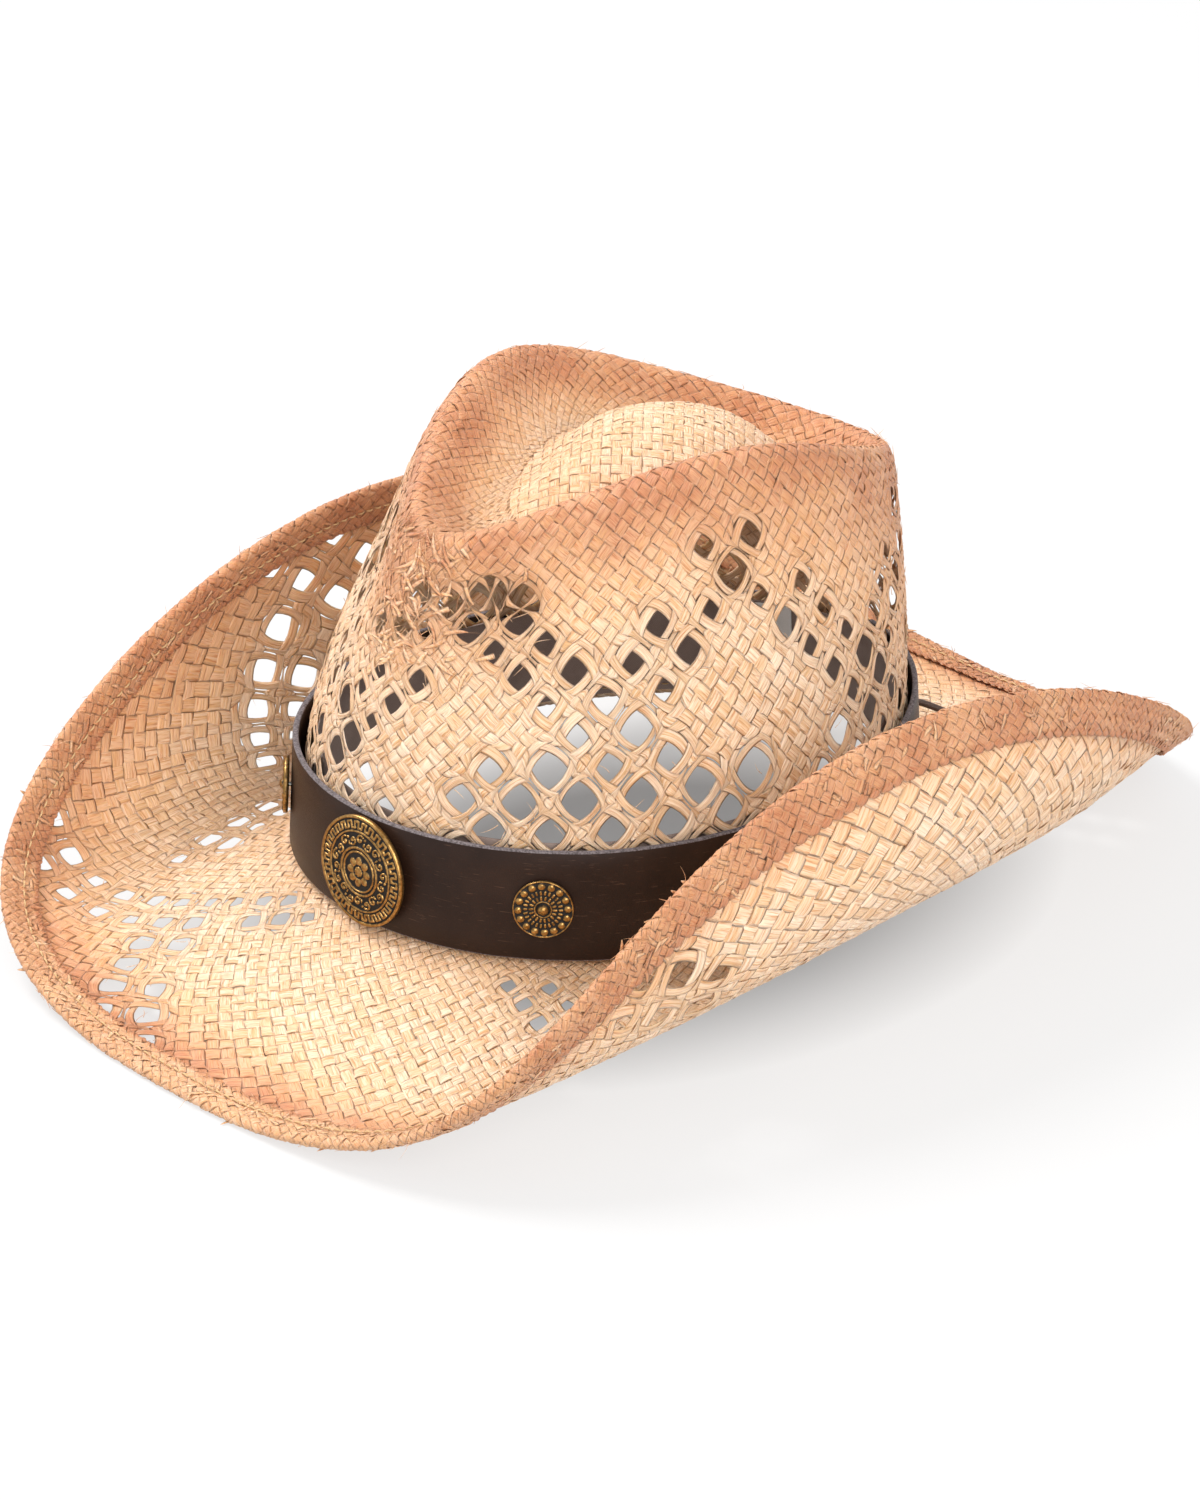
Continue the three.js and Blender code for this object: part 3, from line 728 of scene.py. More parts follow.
def cloth_material(name, dark, light, threads_per_mm, rough=0.88):
    """Woven tape. The cloth attribute holds each point's place along and across it, in mm."""
    n = Nodes(name, rough)
    place_on_cloth = n.attribute("cloth", "Vector")
    pitch = threads_per_mm * 2 * math.pi
    parts = n.add("ShaderNodeSeparateXYZ", {0: place_on_cloth}).outputs
    along = n.math("SINE", n.math("MULTIPLY", parts["X"], pitch))
    across = n.math("SINE", n.math("MULTIPLY", parts["Y"], pitch))
    weave = n.math("MULTIPLY", along, across)
    fuzz = n.noise(n.stretch(place_on_cloth, (2.0, 2.0, 2.0)), 1.5, 3.0)
    stain = n.noise(n.stretch(place_on_cloth, (0.08, 0.08, 0.08)), 1.0, 3.0)
    shade = n.math("ADD", n.math("MULTIPLY", weave, 0.16), n.spread(fuzz, 0.3, 0.7, 0.2, 0.6))
    shade = n.math("ADD", shade, n.spread(stain, 0.3, 0.7, -0.05, 0.35))
    n.colour(n.mix(shade, dark, light))
    n.shader.inputs["Sheen Weight"].default_value = 0.15
    n.bump(n.math("ADD", n.math("MULTIPLY", weave, 0.5), fuzz), 0.00012, 0.6)
    return n.material


def fibrous_material(name, dark, light, scale, rough):
    """Thread or lace: fine fibres seen as small streaks."""
    n = Nodes(name, rough)
    fibres = n.noise(n.stretch(n.place(), (1.0, 1.0, 2.6)), scale, 4.0, 0.7)
    n.colour(n.mix(n.spread(fibres, 0.32, 0.68), dark, light))
    n.bump(fibres, 0.0002, 0.6)
    return n.material


def floor_material():
    n = Nodes("pale_floor", 0.85)
    cloud = n.noise(n.place(), 2.0, 2.0)
    dark, light = 0.155, 0.165
    n.colour(n.mix(cloud, (dark, dark, dark, 1), (light, light, light, 1)))
    # The floor glows, painted light that keeps its shadows faint, and glows less under the crown, a painted
    # shadow that keeps the inside dark.
    opening_ratio = 0.82  # width to length of the head opening
    flat = n.stretch(n.place(), (1.0, opening_ratio, 0.0))
    away = n.add("ShaderNodeVectorMath", {0: flat}, operation="LENGTH").outputs["Value"]
    glow = n.spread(away, 0.06, 0.12, 0.22, 0.69)
    n.shader.inputs["Emission Color"].default_value = (1, 1, 1, 1)
    n.feed(n.shader.inputs["Emission Strength"], glow)
    return n.material


STRAW_LOOK = straw_material("woven_straw")
HEM_LOOK = straw_material("hem_straw")
LEATHER_LOOK = leather_material()
EDGE_LOOK = leather_edge_material()
BRASS_LOOK = brass_material()
STEEL_LOOK = steel_material()
TAPE_LOOK = cloth_material("sweatband_tape", rgb(112, 93, 84), rgb(160, 141, 131), 1.6)
LABEL_LOOK = cloth_material("blank_label", rgb(222, 220, 214), rgb(250, 249, 246), 3.0, 0.7)
THREAD_LOOK = fibrous_material("thread", rgb(176, 140, 96), rgb(224, 190, 142), 3000.0, 0.8)
LACE_LOOK = fibrous_material("waxed_lace", rgb(40, 26, 20), rgb(92, 66, 52), 1400.0, 0.5)


# ---------- camera ----------
CAMERA_AZIMUTH, CAMERA_ELEVATION, CAMERA_ROLL = (math.radians(a) for a in (46.66, 26.36, -0.35))
CAMERA_DISTANCE = 1.5606  # m, from the middle of the head opening
CAMERA_LENS = 122.4
CAMERA_SHIFT = (-0.0135, 0.0419)


def add_camera():
    az, el, roll = CAMERA_AZIMUTH, CAMERA_ELEVATION, CAMERA_ROLL
    back = np.array([math.sin(az) * math.cos(el), -math.cos(az) * math.cos(el), math.sin(el)])
    right = np.array([math.cos(az), math.sin(az), 0.0])
    above = np.cross(back, right)
    level = right * math.cos(roll) + above * math.sin(roll)
    upright = above * math.cos(roll) - right * math.sin(roll)
    data = bpy.data.cameras.new("camera")
    data.lens = CAMERA_LENS
    data.shift_x, data.shift_y = CAMERA_SHIFT
    camera = add_to_scene("camera", data)
    position = place([0, 0, 0]) + back * CAMERA_DISTANCE
    matrix = np.eye(4)
    matrix[:3, :4] = np.stack([level, upright, back, position], axis=1)
    camera.matrix_world = Matrix(matrix.tolist())
    bpy.context.scene.camera = camera


add_camera()


# ---------- places on the leather band ----------
def band_point(phi, depth, z):
    """A point depth mm out from the inner face of the leather."""
    inner = BAND_STANDOFF + STRAW / 2 - BAND_TAPER * (z - BAND_FOOT) / BAND_HEIGHT
    return oval(phi, inner + depth, z)


def band_normal(phi):
    lean = math.atan(BAND_TAPER / BAND_HEIGHT)
    return unit(outward(phi) * math.cos(lean) + UP * math.sin(lean))


BAND_MIDDLE = BAND_FOOT + BAND_HEIGHT / 2
BAND_END_ANGLE = math.pi - math.radians(BAND_END)
LACE_ANGLE = BAND_END_ANGLE - LACE_HOLE_INSET / HEAD_WIDTH


# ---------- lacing at the back ----------
def smooth_route(points):
    """A centripetal Catmull-Rom curve through the points, as the CAD part's cords have."""
    per_span = 6
    p = np.asarray(points, dtype=float)
    p = np.vstack([2 * p[0] - p[1], p, 2 * p[-1] - p[-2]])
    result = []
    for p0, p1, p2, p3 in zip(p, p[1:], p[2:], p[3:]):
        d0, d1, d2 = (math.sqrt(np.linalg.norm(b - a)) for a, b in ((p0, p1), (p1, p2), (p2, p3)))
        m1 = ((p1 - p0) / d0 - (p2 - p0) / (d0 + d1) + (p2 - p1) / d1) * d1
        m2 = ((p2 - p1) / d1 - (p3 - p1) / (d1 + d2) + (p3 - p2) / d2) * d1
        for u in np.arange(per_span) / per_span:
            h = (2 * u**3 - 3 * u**2 + 1, u**3 - 2 * u**2 + u, 3 * u**2 - 2 * u**3, u**3 - u**2)
            result.append(h[0] * p1 + h[1] * m1 + h[2] * p2 + h[3] * m2)
    return np.array(result + [p[-2]])


def tube(name, path, radius, material, sides=10, closed=False):
    """A round tube along a path, on the hatband."""
    if closed:
        direction = unit(np.roll(path, -1, axis=0) - np.roll(path, 1, axis=0))
    else:
        direction = unit(np.gradient(path, axis=0))
    side = np.cross(direction[0], UP if abs(direction[0][2]) < 0.9 else [1.0, 0, 0])
    frames = []
    for d in direction:
        side = unit(side - d * np.dot(side, d))
        frames.append(np.stack([side, np.cross(d, side)]))
    frames = np.array(frames)
    twist = 0.0
    if closed:
        first, last = frames[0], frames[-1]
        twist = math.atan2(np.dot(last[0], first[1]), np.dot(last[0], first[0]))
    angle = around(sides) + (np.linspace(0, 1, len(path)) * -twist)[:, None]
    ring = np.cos(angle)[..., None] * frames[:, None, 0] + np.sin(angle)[..., None] * frames[:, None, 1]
    verts = path[:, None] + ring * radius
    faces = wall_faces(len(path), sides, True) if closed else tube_faces(len(path), sides)
    return make_object(name, verts, faces, [material], "hatband")


def knot_path(size):
    """A trefoil, which is an overhand knot pulled up."""
    t = around(72)
    x = np.sin(t) + 2 * np.sin(2 * t)
    y = -np.sin(3 * t) * 0.9
    z = np.cos(t) - 2 * np.cos(2 * t)
    return np.stack([x * size[0], y * size[1], z * size[2]], axis=-1)


def brim_normal(phi, t):
    return normal_of(brim_surface, np.array(phi), np.array(t), True)


def on_brim(degrees, t, height=0.35):
    """The middle of a lace that lies on the brim, or height mm off it."""
    phi = np.array(math.radians(degrees))
    lift = STRAW / 2 + LACE_RADIUS + height
    return brim_surface(phi, np.array(t)) + brim_normal(phi, t) * lift


LACE_DEPTH = BAND_THICKNESS + GAP + LACE_RADIUS
KNOT_HEIGHT, KNOT_HALF_WIDTH = 17.5, 4.2
KNOT_CENTRE = band_point(np.array(math.pi), LACE_DEPTH + 0.6, KNOT_HEIGHT)


def tail_route(side):
    """The points of a lace tail: side is 1 for the wearer's left one and -1 for the right one."""
    start = KNOT_CENTRE + [side * (KNOT_HALF_WIDTH + GAP), 0, -0.6]
    rise = 1.0 if side > 0 else 0.3  # the left lace stands off the brim before it lies down
    # degrees from the back, how far out on the brim, height above it
    steps = [(7.5, 0.11, 2.2 + 5.5 * rise), (11, 0.18, 0.35 + 7 * rise), (14.5, 0.27, 0.35 + 5.5 * rise)]
    steps += [(17.5, 0.37, 0.35 + 2.6 * rise), (19, 0.48), (18.5, 0.59)]
    steps += [(17, 0.7), (17.5, 0.78)] if side > 0 else [(16.5, 0.68)]
    route = [start, start + [side * 3, 0.8, -1.2], start + [side * 6.5, 2.6, -5.5]]
    return route + [on_brim(180 - side * step[0], *step[1:]) for step in steps]


def add_lace_tail(side, label):
    name = f"lace_tail_{label}_cord"
    route = tail_route(side)
    path = smooth_route(route)
    curve = bpy.data.curves.new(name, "CURVE")
    curve.dimensions = "3D"
    curve.bevel_depth = LACE_RADIUS * 0.001
    curve.bevel_resolution = 3
    curve.use_fill_caps = True
    spline = curve.splines.new("POLY")
    spline.points.add(len(path) - 1)
    for point, at in zip(spline.points, place(path)):
        point.co = (*at, 1.0)
    curve.materials.append(LACE_LOOK)
    cord = add_to_scene(name, curve)
    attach(cord, "hatband")
    stands_for(f"lace_tail_{label}")
    along = unit(route[-1] - route[-2])
    lift = brim_normal(math.pi, 0.7) * (TAIL_KNOT - LACE_RADIUS + 0.3)
    centre = route[-1] + along * (TAIL_KNOT + GAP - 0.5) + lift * 0.6
    turns = knot_path((0.62, 0.7, 0.62)) + centre
    knot = tube(f"tail_knot_{label}_tied", turns, 0.95, LACE_LOOK, closed=True)
    stands_for(f"tail_knot_{label}")


add_lace_tail(1, "left")
add_lace_tail(-1, "right")

for number, height in enumerate(LACE_HOLE_HEIGHTS, start=1):
    turn = np.linspace(LACE_ANGLE, 2 * math.pi - LACE_ANGLE, 25)
    dive = LACE_DEPTH * (1 - (2 * np.linspace(0, 1, 25) - 1) ** 8)
    bridge = tube(f"lace_bridge_{number}_cord", band_point(turn, dive, height), LACE_RADIUS, LACE_LOOK)
    stands_for(f"lace_bridge_{number}")
lace_knot = tube("lace_knot_tied", knot_path((1.05, 0.75, 0.8)) + KNOT_CENTRE, 1.15, LACE_LOOK, closed=True)
stands_for("lace_knot")


# ---------- the straw ----------
WEAVE_START = -0.25  # below the first row, so that the slanted ends of the strands leave no gaps
BRIM_END = 0.985  # under the hem
HEM_COUNT = 300
WOVEN = (STRAW_LOOK, "straw")

crown_at = sampled(crown_surface, False)
brim_at = sampled(brim_surface, True)
hem_at = sampled(hem_surface, True)

crown_holes = lattice_holes(CROWN_COUNT, crown_hole, 0.5, CROWN_HOLES_FROM, CROWN_HOLES_TO) + PINCH_TEARS
crown = (crown_surface, crown_at, crown_spray, WOVEN, CROWN_COUNT, WEAVE_START, CREASE_S, crown_holes)
weave_round("crown_weave", "straw_crown", *crown, pieces=2, wobble=0.06)

brim_holes = lattice_holes(BRIM_COUNT, brim_hole, 1.5, BRIM_HOLES_FROM, BRIM_HOLES_TO)
brim = (brim_surface, brim_at, brim_spray, WOVEN, BRIM_COUNT, WEAVE_START, BRIM_END, brim_holes)
weave_round("brim_weave", "straw_brim", *brim, pieces=2, wobble=0.06)

hem = (hem_surface, hem_at, hem_spray, (HEM_LOOK, "straw_hem"), HEM_COUNT, 0.0, 1.0, [])
weave_round("hem_weave", "brim_hem", *hem, pieces=1, wobble=0.16)


# The dome inside the crease is woven straight across, in finer strands.
TOP_PITCH = 3.0
TOP_REACH = 0.66  # share of the way from the middle to the ridge


def crease_share(s):
    """How far out towards the ridge the crown's surface is, for s inside the crease."""
    shares = np.array([1, 0.8, 0.6, 0.4, 0.13, 0, -0.13])
    x = np.asarray(s) * 10 - 6
    i = np.clip(np.floor(x).astype(int), 0, 3)
    return sum(w * shares[i + k] for k, w in enumerate(spline_weights(x - i)))


ridge_turn = np.linspace(0, 2 * np.pi, 721)
ridge_offset = ridge(ridge_turn) - CROWN_CENTRE
ridge_bearing = np.unwrap(np.arctan2(ridge_offset[:, 0], -ridge_offset[:, 1]))
ridge_reach = np.hypot(ridge_offset[:, 0], ridge_offset[:, 1])
inner_s = np.linspace(1.0, 0.6, 401)
inner_share = crease_share(inner_s)


def top_share(i, j):
    """The angle round the ridge, and how far out towards it a crossing of the top's strands lies."""
    x = (i + j) * TOP_PITCH / math.sqrt(2)
    y = (i - j) * TOP_PITCH / math.sqrt(2)
    bearing = np.arctan2(x, -y) % (2 * np.pi)
    share = np.hypot(x, y) / np.interp(bearing, ridge_bearing, ridge_reach)
    return np.interp(bearing, ridge_bearing, ridge_turn), share


def top_place(i, j):
    phi, share = top_share(i, j)
    s = np.interp(share, inner_share, inner_s)
    points, normals = crown_at(phi, s)
    return points, normals, phi, s


def weave_top():
    loops = 150
    search = np.linspace(-20, 20, 401)
    for family in ("i", "j"):

        def share_at(across, along):
            i, j = (across, along) if family == "i" else (along, across)
            return top_share(i, j)[1]

        rows, ends = [], []
        for number in range(-16, 17):
            inside = search[share_at(np.full_like(search, number), search) < TOP_REACH]
            if len(inside) > 8:
                rows.append(number)
                ends.append((inside.min(), inside.max()))
        rows, ends = np.array(rows), np.array(ends)
        u = np.linspace(0, 1, loops)
        along = (ends[:, :1] + (ends[:, 1:] - ends[:, :1]) * u)[..., None] + 0 * COLUMNS
        across = rows[:, None, None] + COLUMNS + 0 * along
        across = across + quiet_noise((len(rows), loops), 12)[..., None] * 0.03
        phase = flat_wave(along[..., 0] - rows[:, None]) * (0.8 if family == "i" else -0.8)
        sunk = -0.7 * ramp(share_at(across, along), 0.56, 0.64)
        place_in = (across, along, family, phase, rng.random(len(rows)))
        name = f"crown_top_weave_{family}"
        ribbon_mesh(name, top_place, *place_in, crown_spray, WOVEN, sunk)


weave_top()


# ---------- leather band ----------
def rounded_outline(depth, height, corner):
    """A rounded rectangle's points from (0, 0) to (depth, height), with extra ones along its long sides."""
    points = []
    centres = (
        (depth - corner, corner, -90),
        (depth - corner, height - corner, 0),
        (corner, height - corner, 90),
        (corner, corner, 180),
    )
    for number, (x, z, start) in enumerate(centres):
        for angle in np.radians(np.linspace(start, start + 90, 3)):
            points.append((x + corner * math.cos(angle), z + corner * math.sin(angle)))
        if number in (0, 2):
            far = (height - corner) if number == 0 else corner
            points += [(points[-1][0], z + (far - z) * k / 6) for k in range(1, 6)]
    return np.array(points).T


def add_leather_band():
    across, up = rounded_outline(BAND_THICKNESS, BAND_HEIGHT, 0.4)
    loops, sides = 300, len(across)
    turn = np.linspace(-BAND_END_ANGLE, BAND_END_ANGLE, loops)[:, None]
    sway = quiet_noise((1, loops), 30).T * 0.12
    edge_wear = quiet_noise((1, loops), 3).T * 0.1
    share = up / BAND_HEIGHT
    z = BAND_FOOT + up + edge_wear * (np.abs(2 * share - 1) ** 8)
    verts = band_point(turn + 0 * z, across + sway * share, z)
    faces = tube_faces(loops, sides)
    band = make_object("leather_band_strap", verts, faces, [LEATHER_LOOK, EDGE_LOOK], "hatband")
    on_face = (across > BAND_THICKNESS - 0.02) | (across < 0.02)
    raw_edge = np.ones(len(faces), np.int32)
    raw_edge[: (loops - 1) * sides] = np.tile(~(on_face & np.roll(on_face, -1)), loops - 1)
    band.data.polygons.foreach_set("material_index", raw_edge)
    pierce_band(band)
    stands_for("leather_band")


def pierce_band(band):
    """Cuts the four lace holes through the leather."""
    hole_radius = 1.7
    for side in (-1, 1):
        for height in LACE_HOLE_HEIGHTS:
            phi = np.array(side * LACE_ANGLE)
            middle = band_point(phi, BAND_THICKNESS / 2, height)
            line = middle + band_normal(phi) * np.linspace(-3, 3, 3)[:, None]
            cutter = tube("band_hole_cutter", line, hole_radius, EDGE_LOOK, sides=24)
            cut = band.modifiers.new("hole", "BOOLEAN")
            cut.operation = "DIFFERENCE"
            cut.solver = "EXACT"
            cut.object = cutter
            with bpy.context.temp_override(object=band, active_object=band):
                bpy.ops.object.modifier_apply(modifier=cut.name)
            bpy.data.objects.remove(cutter)


add_leather_band()


# ---------- brass conchos ----------
def line_height(distance, half_width):
    """A raised line with soft sides: 1 on it and 0 away from it."""
    return 1 - ramp(np.abs(distance), half_width * 0.55, half_width * 1.25)


def key_border(r, theta, count, low, high, half_width):
    """A meander between two radii, as distance to a square wave."""
    pitch = 2 * np.pi * (low + high) / 2 / count
    u = (theta * count / (2 * np.pi)) % 1.0
    outer = np.hypot(np.maximum(np.abs(u - 0.25) - 0.25, 0) * pitch, r - high)
    inner = np.hypot(np.maximum(np.abs(u - 0.75) - 0.25, 0) * pitch, r - low)
    beyond = np.maximum(np.abs(r - (low + high) / 2) - (high - low) / 2, 0)
    sides = [np.hypot(np.abs(u - at) * pitch, beyond) for at in (0, 0.5, 1)]
    return line_height(np.minimum.reduce([outer, inner, *sides]), half_width)


def scroll_ring(r, theta, count, middle):
    """Pairs of spirals that turn opposite ways, joined as S scrolls, with a bead between pairs."""
    pitch = 2 * np.pi * middle / count
    x = ((theta * count / (2 * np.pi)) % 1.0 - 0.5) * pitch
    y = r - middle
    result = 0
    for side in (-1, 1):
        dx, dy = (x - side * pitch * 0.23) * side, (y + side * 0.3) * side
        reach = np.hypot(dx, dy)
        coil = 0.35 + 1.15 * ((np.arctan2(dy, dx) / (2 * np.pi) + 0.1) % 1.0)
        result = np.maximum(result, line_height(reach - coil, 0.3))
        result = np.maximum(result, line_height(reach, 0.3))
    bead = line_height(np.hypot(np.abs(x) - pitch / 2, y - 0.9), 0.45)
    leaf = line_height(np.hypot((np.abs(x) - pitch / 2) * 1.5, (y + 0.8) * 0.7), 0.5)
    return np.maximum.reduce([result, bead, leaf])


def concho_relief(r, theta):
    """How raised the concho's ornament is, from 0 to 1. Radii and widths are in mm."""
    rim = ramp(r, CONCHO_RADIUS - 1.1, CONCHO_RADIUS - 0.6)
    border = key_border(r, theta, 30, 13.4, 15.3, 0.36)
    rings = [line_height(r - at, half) for at, half in ((12.4, 0.3), (7.4, 0.38), (6.2, 0.3))]
    scrolls = scroll_ring(r, theta, 9, 9.9) * ramp(r, 7.9, 8.2) * (1 - ramp(r, 11.6, 11.9))
    petal_reach = 4.9 * (0.7 + 0.3 * np.abs(np.cos(4 * theta)) ** 0.7)
    petals = (1 - ramp(r - petal_reach, -0.5, 0.1)) * (0.35 + 0.65 * np.abs(np.cos(4 * theta)) ** 0.5)
    heart = line_height(r, 1.3)
    gap = 1 - line_height(r - 1.9, 0.4)
    return np.maximum.reduce([rim, border, *rings, scrolls, petals * gap, heart])


def concho_face(r, theta):
    """The height of the concho's front in mm, and how raised its ornament is."""
    relief = concho_relief(r, theta)
    dome = 2.0 + 1.15 * (1 - (r / CONCHO_RADIUS) ** 2)
    return dome + 0.55 * relief, relief


def stud_face(r, theta):
    """The height of a stud's front in mm, and how raised its beads and rings are."""
    beads, dashes = 16, ((3.5, 18), (5.2, 26))
    step = 2 * np.pi / beads
    off = (theta + step / 2) % step - step / 2
    bead = np.sqrt(np.clip(1 - (np.hypot(r - 7.25, r * off) / 1.2) ** 2, 0, 1))
    rows = 0
    for at, count in dashes:
        step = 2 * np.pi / count
        off = (theta + step / 2) % step - step / 2
        rows = np.maximum(rows, line_height(np.hypot(np.maximum(np.abs(r - at) - 0.35, 0), r * off), 0.36))
    ball = np.sqrt(np.clip(1 - (r / 1.75) ** 2, 0, 1))
    rim = ramp(r, 8.3, 8.6)
    ring = line_height(r - 2.4, 0.28)
    height = 1.5 + 0.75 * bead + 0.35 * np.maximum(rows, ring) + 1.7 * ball + 0.25 * rim
    return height, np.maximum.reduce([bead, rows * 0.8, ball, rim * 0.8, ring * 0.7])


def relief_disc(node, face, radius, rings, spokes, edge_height, degrees, body):
    """A closed round disc whose front is a height field, standing on the leather."""
    r = np.linspace(0.04, radius, rings)
    theta = around(spokes)
    grid_r, grid_theta = np.meshgrid(r, theta, indexing="ij")
    height, relief = face(grid_r, grid_theta)
    rim = [(radius + 0.02, edge_height + 0.55), (radius - 0.15, edge_height)]
    back = [(radius * 0.5, 0.35), (0.04, 0.3)]
    for back_r, back_z in rim + back:
        grid_r = np.vstack([grid_r, np.full(spokes, back_r)])
        height = np.vstack([height, np.full(spokes, back_z)])
        relief = np.vstack([relief, np.full(spokes, 0.6)])
    phi = np.array(math.radians(degrees))
    normal = band_normal(phi)
    turn = Vector((0, 0, 1)).rotation_difference(Vector(normal))
    across, along = (np.array(turn @ Vector(axis)) for axis in ((1, 0, 0), (0, 1, 0)))
    seat = band_point(phi, BAND_THICKNESS + GAP, BAND_MIDDLE)
    x, y = grid_r * np.cos(theta), grid_r * np.sin(theta)
    verts = seat + x[..., None] * across + y[..., None] * along + height[..., None] * normal
    faces = tube_faces(len(grid_r), spokes)
    disc = make_object(f"{node}_disc", verts, faces, [BRASS_LOOK], body, {"relief": relief.reshape(-1)})
    stands_for(node)


relief_disc(
    "front_concho", concho_face, CONCHO_RADIUS, rings=104, spokes=600, edge_height=0.9,
    degrees=CONCHO_ANGLE, body="concho",
)
for number, stud_angle in enumerate(STUD_ANGLES, start=1):
    relief_disc(
        f"side_stud_{number}", stud_face, STUD_RADIUS, rings=56, spokes=288, edge_height=0.4,
        degrees=stud_angle, body="hatband",
    )


# ---------- sweatband, label and stitches ----------
SWEAT_DEPTH, SWEAT_THICKNESS = 0.5, 0.9
CLOTH_RADIUS = 91  # mm, turns an angle into a length along the tape
LABEL_RADIUS = 95  # mm, from the middle of the head opening to the label
STITCH_ROW = 0.9535  # how far out on the brim the hem's stitches run
CLEAR_OF_FLOOR = 0.1


def inside_point(phi, depth, z):
    """A point on the inner side of the crown, depth mm in from the sweatband's outer face."""
    lean = SWEATBAND_LEAN * z / SWEATBAND_HEIGHT
    return oval(phi, -(STRAW / 2 + GAP) - lean - SWEAT_DEPTH - depth, z)


def cloth_strip(name, turn, depth, z, closed, material, node):
    """A strip on the inner side of the crown. cloth holds each point's place on it, in mm."""
    loops, sides = z.shape
    verts = inside_point(turn + 0 * z, depth, z)
    cloth = np.stack([turn * CLOTH_RADIUS + 0 * z, z, 0 * z], axis=-1).reshape(-1, 3)
    faces = wall_faces(loops, sides, True) if closed else tube_faces(loops, sides)
    strip = make_object(name, verts, faces, [material], "hat", {"cloth": cloth})
    stands_for(node)


def add_sweatband():
    across, up = rounded_outline(SWEAT_THICKNESS, SWEATBAND_HEIGHT, 0.3)
    turn = around(260)[:, None]
    ripple = 0.12 * np.sin(9 * turn) + 0.08 * np.sin(23 * turn + 1)
    depth = across + (ripple + 0.2) * (up / SWEATBAND_HEIGHT) * 0.8
    z = SWEATBAND_FOOT + up + 0 * ripple
    cloth_strip("sweatband_tape", turn, depth, z, True, TAPE_LOOK, "sweatband")


def add_label():
    across, up = rounded_outline(0.4, LABEL_HEIGHT, 0.15)
    half = LABEL_WIDTH / 2 / LABEL_RADIUS
    turn = math.radians(LABEL_ANGLE) + np.linspace(-half, half, 30)[:, None]
    curl = 0.9 * (up / LABEL_HEIGHT) ** 2 * np.cos(np.linspace(-1.4, 1.4, 30))[:, None]
    depth = SWEAT_THICKNESS + GAP + across + curl
    z = LABEL_FOOT + up + 0 * curl
    cloth_strip("size_label_tab", turn, depth, z, False, LABEL_LOOK, "size_label")


def rod_points(lines, across, up, half_width, half_height, sides):
    """The points of many thin rods round the given lines, kept above the floor."""
    angle = around(sides)[:, None]
    ring = np.cos(angle) * across[:, None, None] * half_width
    ring = ring + np.sin(angle) * up[:, None, None] * half_height
    points = (lines[:, :, None] + ring).reshape(-1, 3)
    points[:, 2] = np.maximum(points[:, 2], CLEAR_OF_FLOOR - HAT_HEIGHT)
    return points


def stitch_row(name, middles, directions, lifts, length, radius, node):
    """Many short threads, each a spindle that dips in at both ends."""
    loops, sides = 7, 6
    steps = np.linspace(-1, 1, loops)
    thin = radius * np.sqrt(np.clip(1.04 - steps**2, 0.04, 1))[:, None, None]
    arch = radius * 1.6 * (1 - steps**2) - radius * 0.8
    lines = middles[:, None] + directions[:, None] * (steps * length / 2)[:, None]
    lines = lines + lifts[:, None] * arch[:, None]
    across = unit(np.cross(directions, lifts))
    verts = rod_points(lines, across, lifts, thin, thin, sides)
    row = make_object(name, verts, tube_faces(loops, sides, len(middles)), [THREAD_LOOK], "hat")
    stands_for(node)


def even_turns(curve, spacing):
    """Angles at which points on a closed curve are about equally far apart."""
    phi = np.linspace(0, 2 * np.pi, 1441)
    length = np.concatenate([[0], np.cumsum(np.linalg.norm(np.diff(curve(phi), axis=0), axis=1))])
    count = int(length[-1] / spacing)
    return np.interp(np.arange(count) / count * length[-1], length, phi)


def hem_line(phi):
    return brim_surface(phi, np.full_like(phi, STITCH_ROW))


def tape_line(phi):
    return inside_point(phi, SWEAT_THICKNESS + 0.2, SWEATBAND_FOOT + 2.2)


def ahead_on(curve, phi):
    return unit(curve(phi + 1e-3) - curve(phi - 1e-3))


def add_stitches():
    phi = even_turns(hem_line, 3.6)
    up = normal_of(brim_surface, phi, np.full_like(phi, STITCH_ROW), True)
    middles = hem_line(phi) + up * (HEM_DEPTH + 0.1)
    stitch_row("hem_stitches", middles, ahead_on(hem_line, phi), up, 2.9, 0.3, "hem_stitching")
    phi = even_turns(tape_line, 3.2)
    ahead = ahead_on(tape_line, phi)
    stitch_row("sweatband_stitches", tape_line(phi), ahead, -outward(phi), 2.5, 0.25, "sweatband_stitching")


add_sweatband()
add_label()
add_stitches()


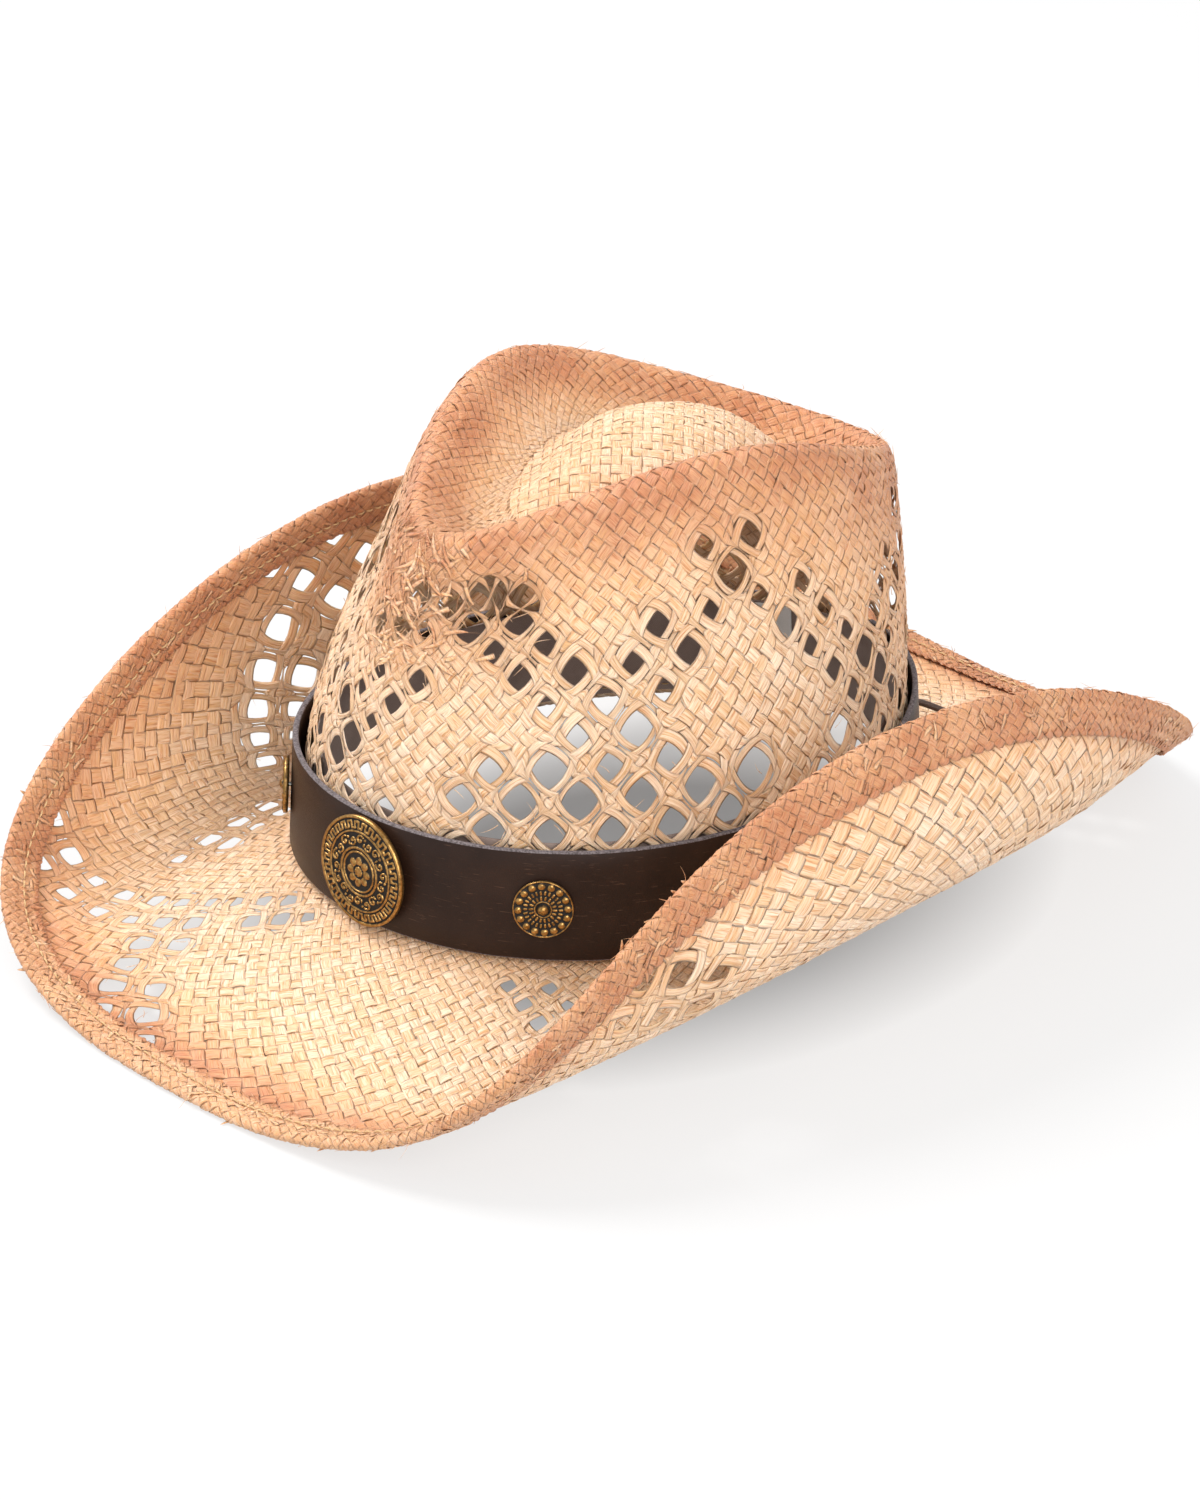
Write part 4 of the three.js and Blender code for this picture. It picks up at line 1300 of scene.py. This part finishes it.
# ---------- stray straw fibres ----------
def stray_fibres(name, look_up, phi, v, spray_of, length, spread, lift, half_width=0.11):
    """Thin hairs that lie just over a woven surface and lift off it at their tips."""
    count, loops, sides = len(phi), 7, 4
    points, normals = look_up(phi, v)
    heading = (rng.integers(0, 4, count) * np.pi / 2 + np.pi / 4 + rng.normal(0, 0.25, count))[:, None]
    side = unit(np.cross(normals, UP + rng.normal(0, 0.01, (count, 3))))
    ahead = side * np.cos(heading) + np.cross(normals, side) * np.sin(heading)
    across = np.cross(normals, ahead)
    steps = np.linspace(0, 1, loops)[:, None]
    reach = (length * rng.uniform(0.5, 1.3, count))[:, None, None]
    bend = rng.normal(0, spread, count)[:, None, None]
    rise = (rng.uniform(0.1, 1, count) * lift)[:, None, None]
    lines = points[:, None] + ahead[:, None] * reach * steps + across[:, None] * reach * bend * steps**2
    lines = lines + normals[:, None] * (0.45 + rise * steps**2)
    taper = (1 - 0.8 * steps**3)[:, None]
    verts = rod_points(lines, across, normals, half_width * taper, 0.1 * taper, sides)
    attributes = {
        "spray": np.repeat(spray_of(phi, v) * rng.uniform(0.5, 1.2, count), loops * sides),
        "dip": np.zeros(len(verts)),
        "edge": np.zeros(len(verts)),
        "tone": np.repeat(rng.random(count), loops * sides),
        "fibre": verts,
    }
    hair = make_object(name, verts, tube_faces(loops, sides, count), [STRAW_LOOK], "hat", attributes)


def scatter(count, low, high):
    """Random places all round, between two rows of a surface."""
    return rng.uniform(0, 2 * np.pi, count), rng.uniform(low, high, count)


def scatter_front(count, low, high, spread):
    """Random places near the front of the crown."""
    return rng.normal(0.02, spread, count), rng.uniform(low, high, count)


# Lengths, lifts and half widths are in mm, and a spread is how far a hair bends for its length.
stray_fibres("hem_fibres", hem_at, *scatter(700, 0.05, 0.95), hem_spray, 4.0, 0.5, 0.3)
stray_fibres("hem_frays_upper", hem_at, *scatter(240, 0.06, 0.36), hem_spray, 4.5, 0.25, 0.05, 0.8)
stray_fibres("hem_frays_lower", hem_at, *scatter(240, 0.64, 0.94), hem_spray, 4.5, 0.25, 0.05, 0.8)
stray_fibres("brim_fibres", brim_at, *scatter(500, 0.3, 0.9), brim_spray, 5.0, 0.4, 0.4)
stray_fibres("crown_fibres", crown_at, *scatter(500, 0.2, 0.6), crown_spray, 5.0, 0.4, 0.5)
stray_fibres("pinch_fibres", crown_at, *scatter_front(200, 0.36, 0.5, 0.2), crown_spray, 6.5, 0.5, 0.7)
stray_fibres("pinch_frays", crown_at, *scatter_front(80, 0.36, 0.48, 0.18), crown_spray, 6.0, 0.3, 0.25, 0.8)


# ---------- CAD pieces that keep their own shape ----------
rivets = [f"stud_rivet_{number}" for number in range(1, len(STUD_ANGLES) + 1)]
for node in ("brim_wire", "brim_wire_sleeve", "concho_screw", *rivets):
    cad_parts[node].material_slots[0].material = STEEL_LOOK


# ---------- floor and light ----------
AIMED_AT = Vector((0, 0, 0.08))  # m, the middle of the hat


def area_light(name, azimuth, elevation, distance, size, power):
    az, el = math.radians(azimuth), math.radians(elevation)
    away = Vector((math.sin(az) * math.cos(el), -math.cos(az) * math.cos(el), math.sin(el)))
    data = bpy.data.lights.new(name, "AREA")
    data.shape = "DISK"
    data.size = size
    data.energy = power
    light = add_to_scene(name, data)
    light.location = away * distance + AIMED_AT
    light.rotation_euler = away.to_track_quat("Z", "Y").to_euler()


def add_floor():
    reach = 12.0
    corners = [(-reach, -reach, 0), (reach, -reach, 0), (reach, reach, 0), (-reach, reach, 0)]
    mesh = bpy.data.meshes.new("floor")
    mesh.from_pydata(corners, [], [(0, 1, 2, 3)])
    mesh.materials.append(floor_material())
    add_to_scene("floor", mesh)


add_floor()
area_light("key", azimuth=-75, elevation=52, distance=2.0, size=1.0, power=42)
area_light("front_fill", azimuth=62, elevation=28, distance=2.6, size=2.2, power=56)
world = bpy.data.worlds.new("studio")
world.use_nodes = True
world.node_tree.nodes["Background"].inputs["Color"].default_value = (1, 1, 1, 1)
world.node_tree.nodes["Background"].inputs["Strength"].default_value = 0.85
bpy.context.scene.world = world
bpy.context.scene.view_settings.view_transform = "Standard"
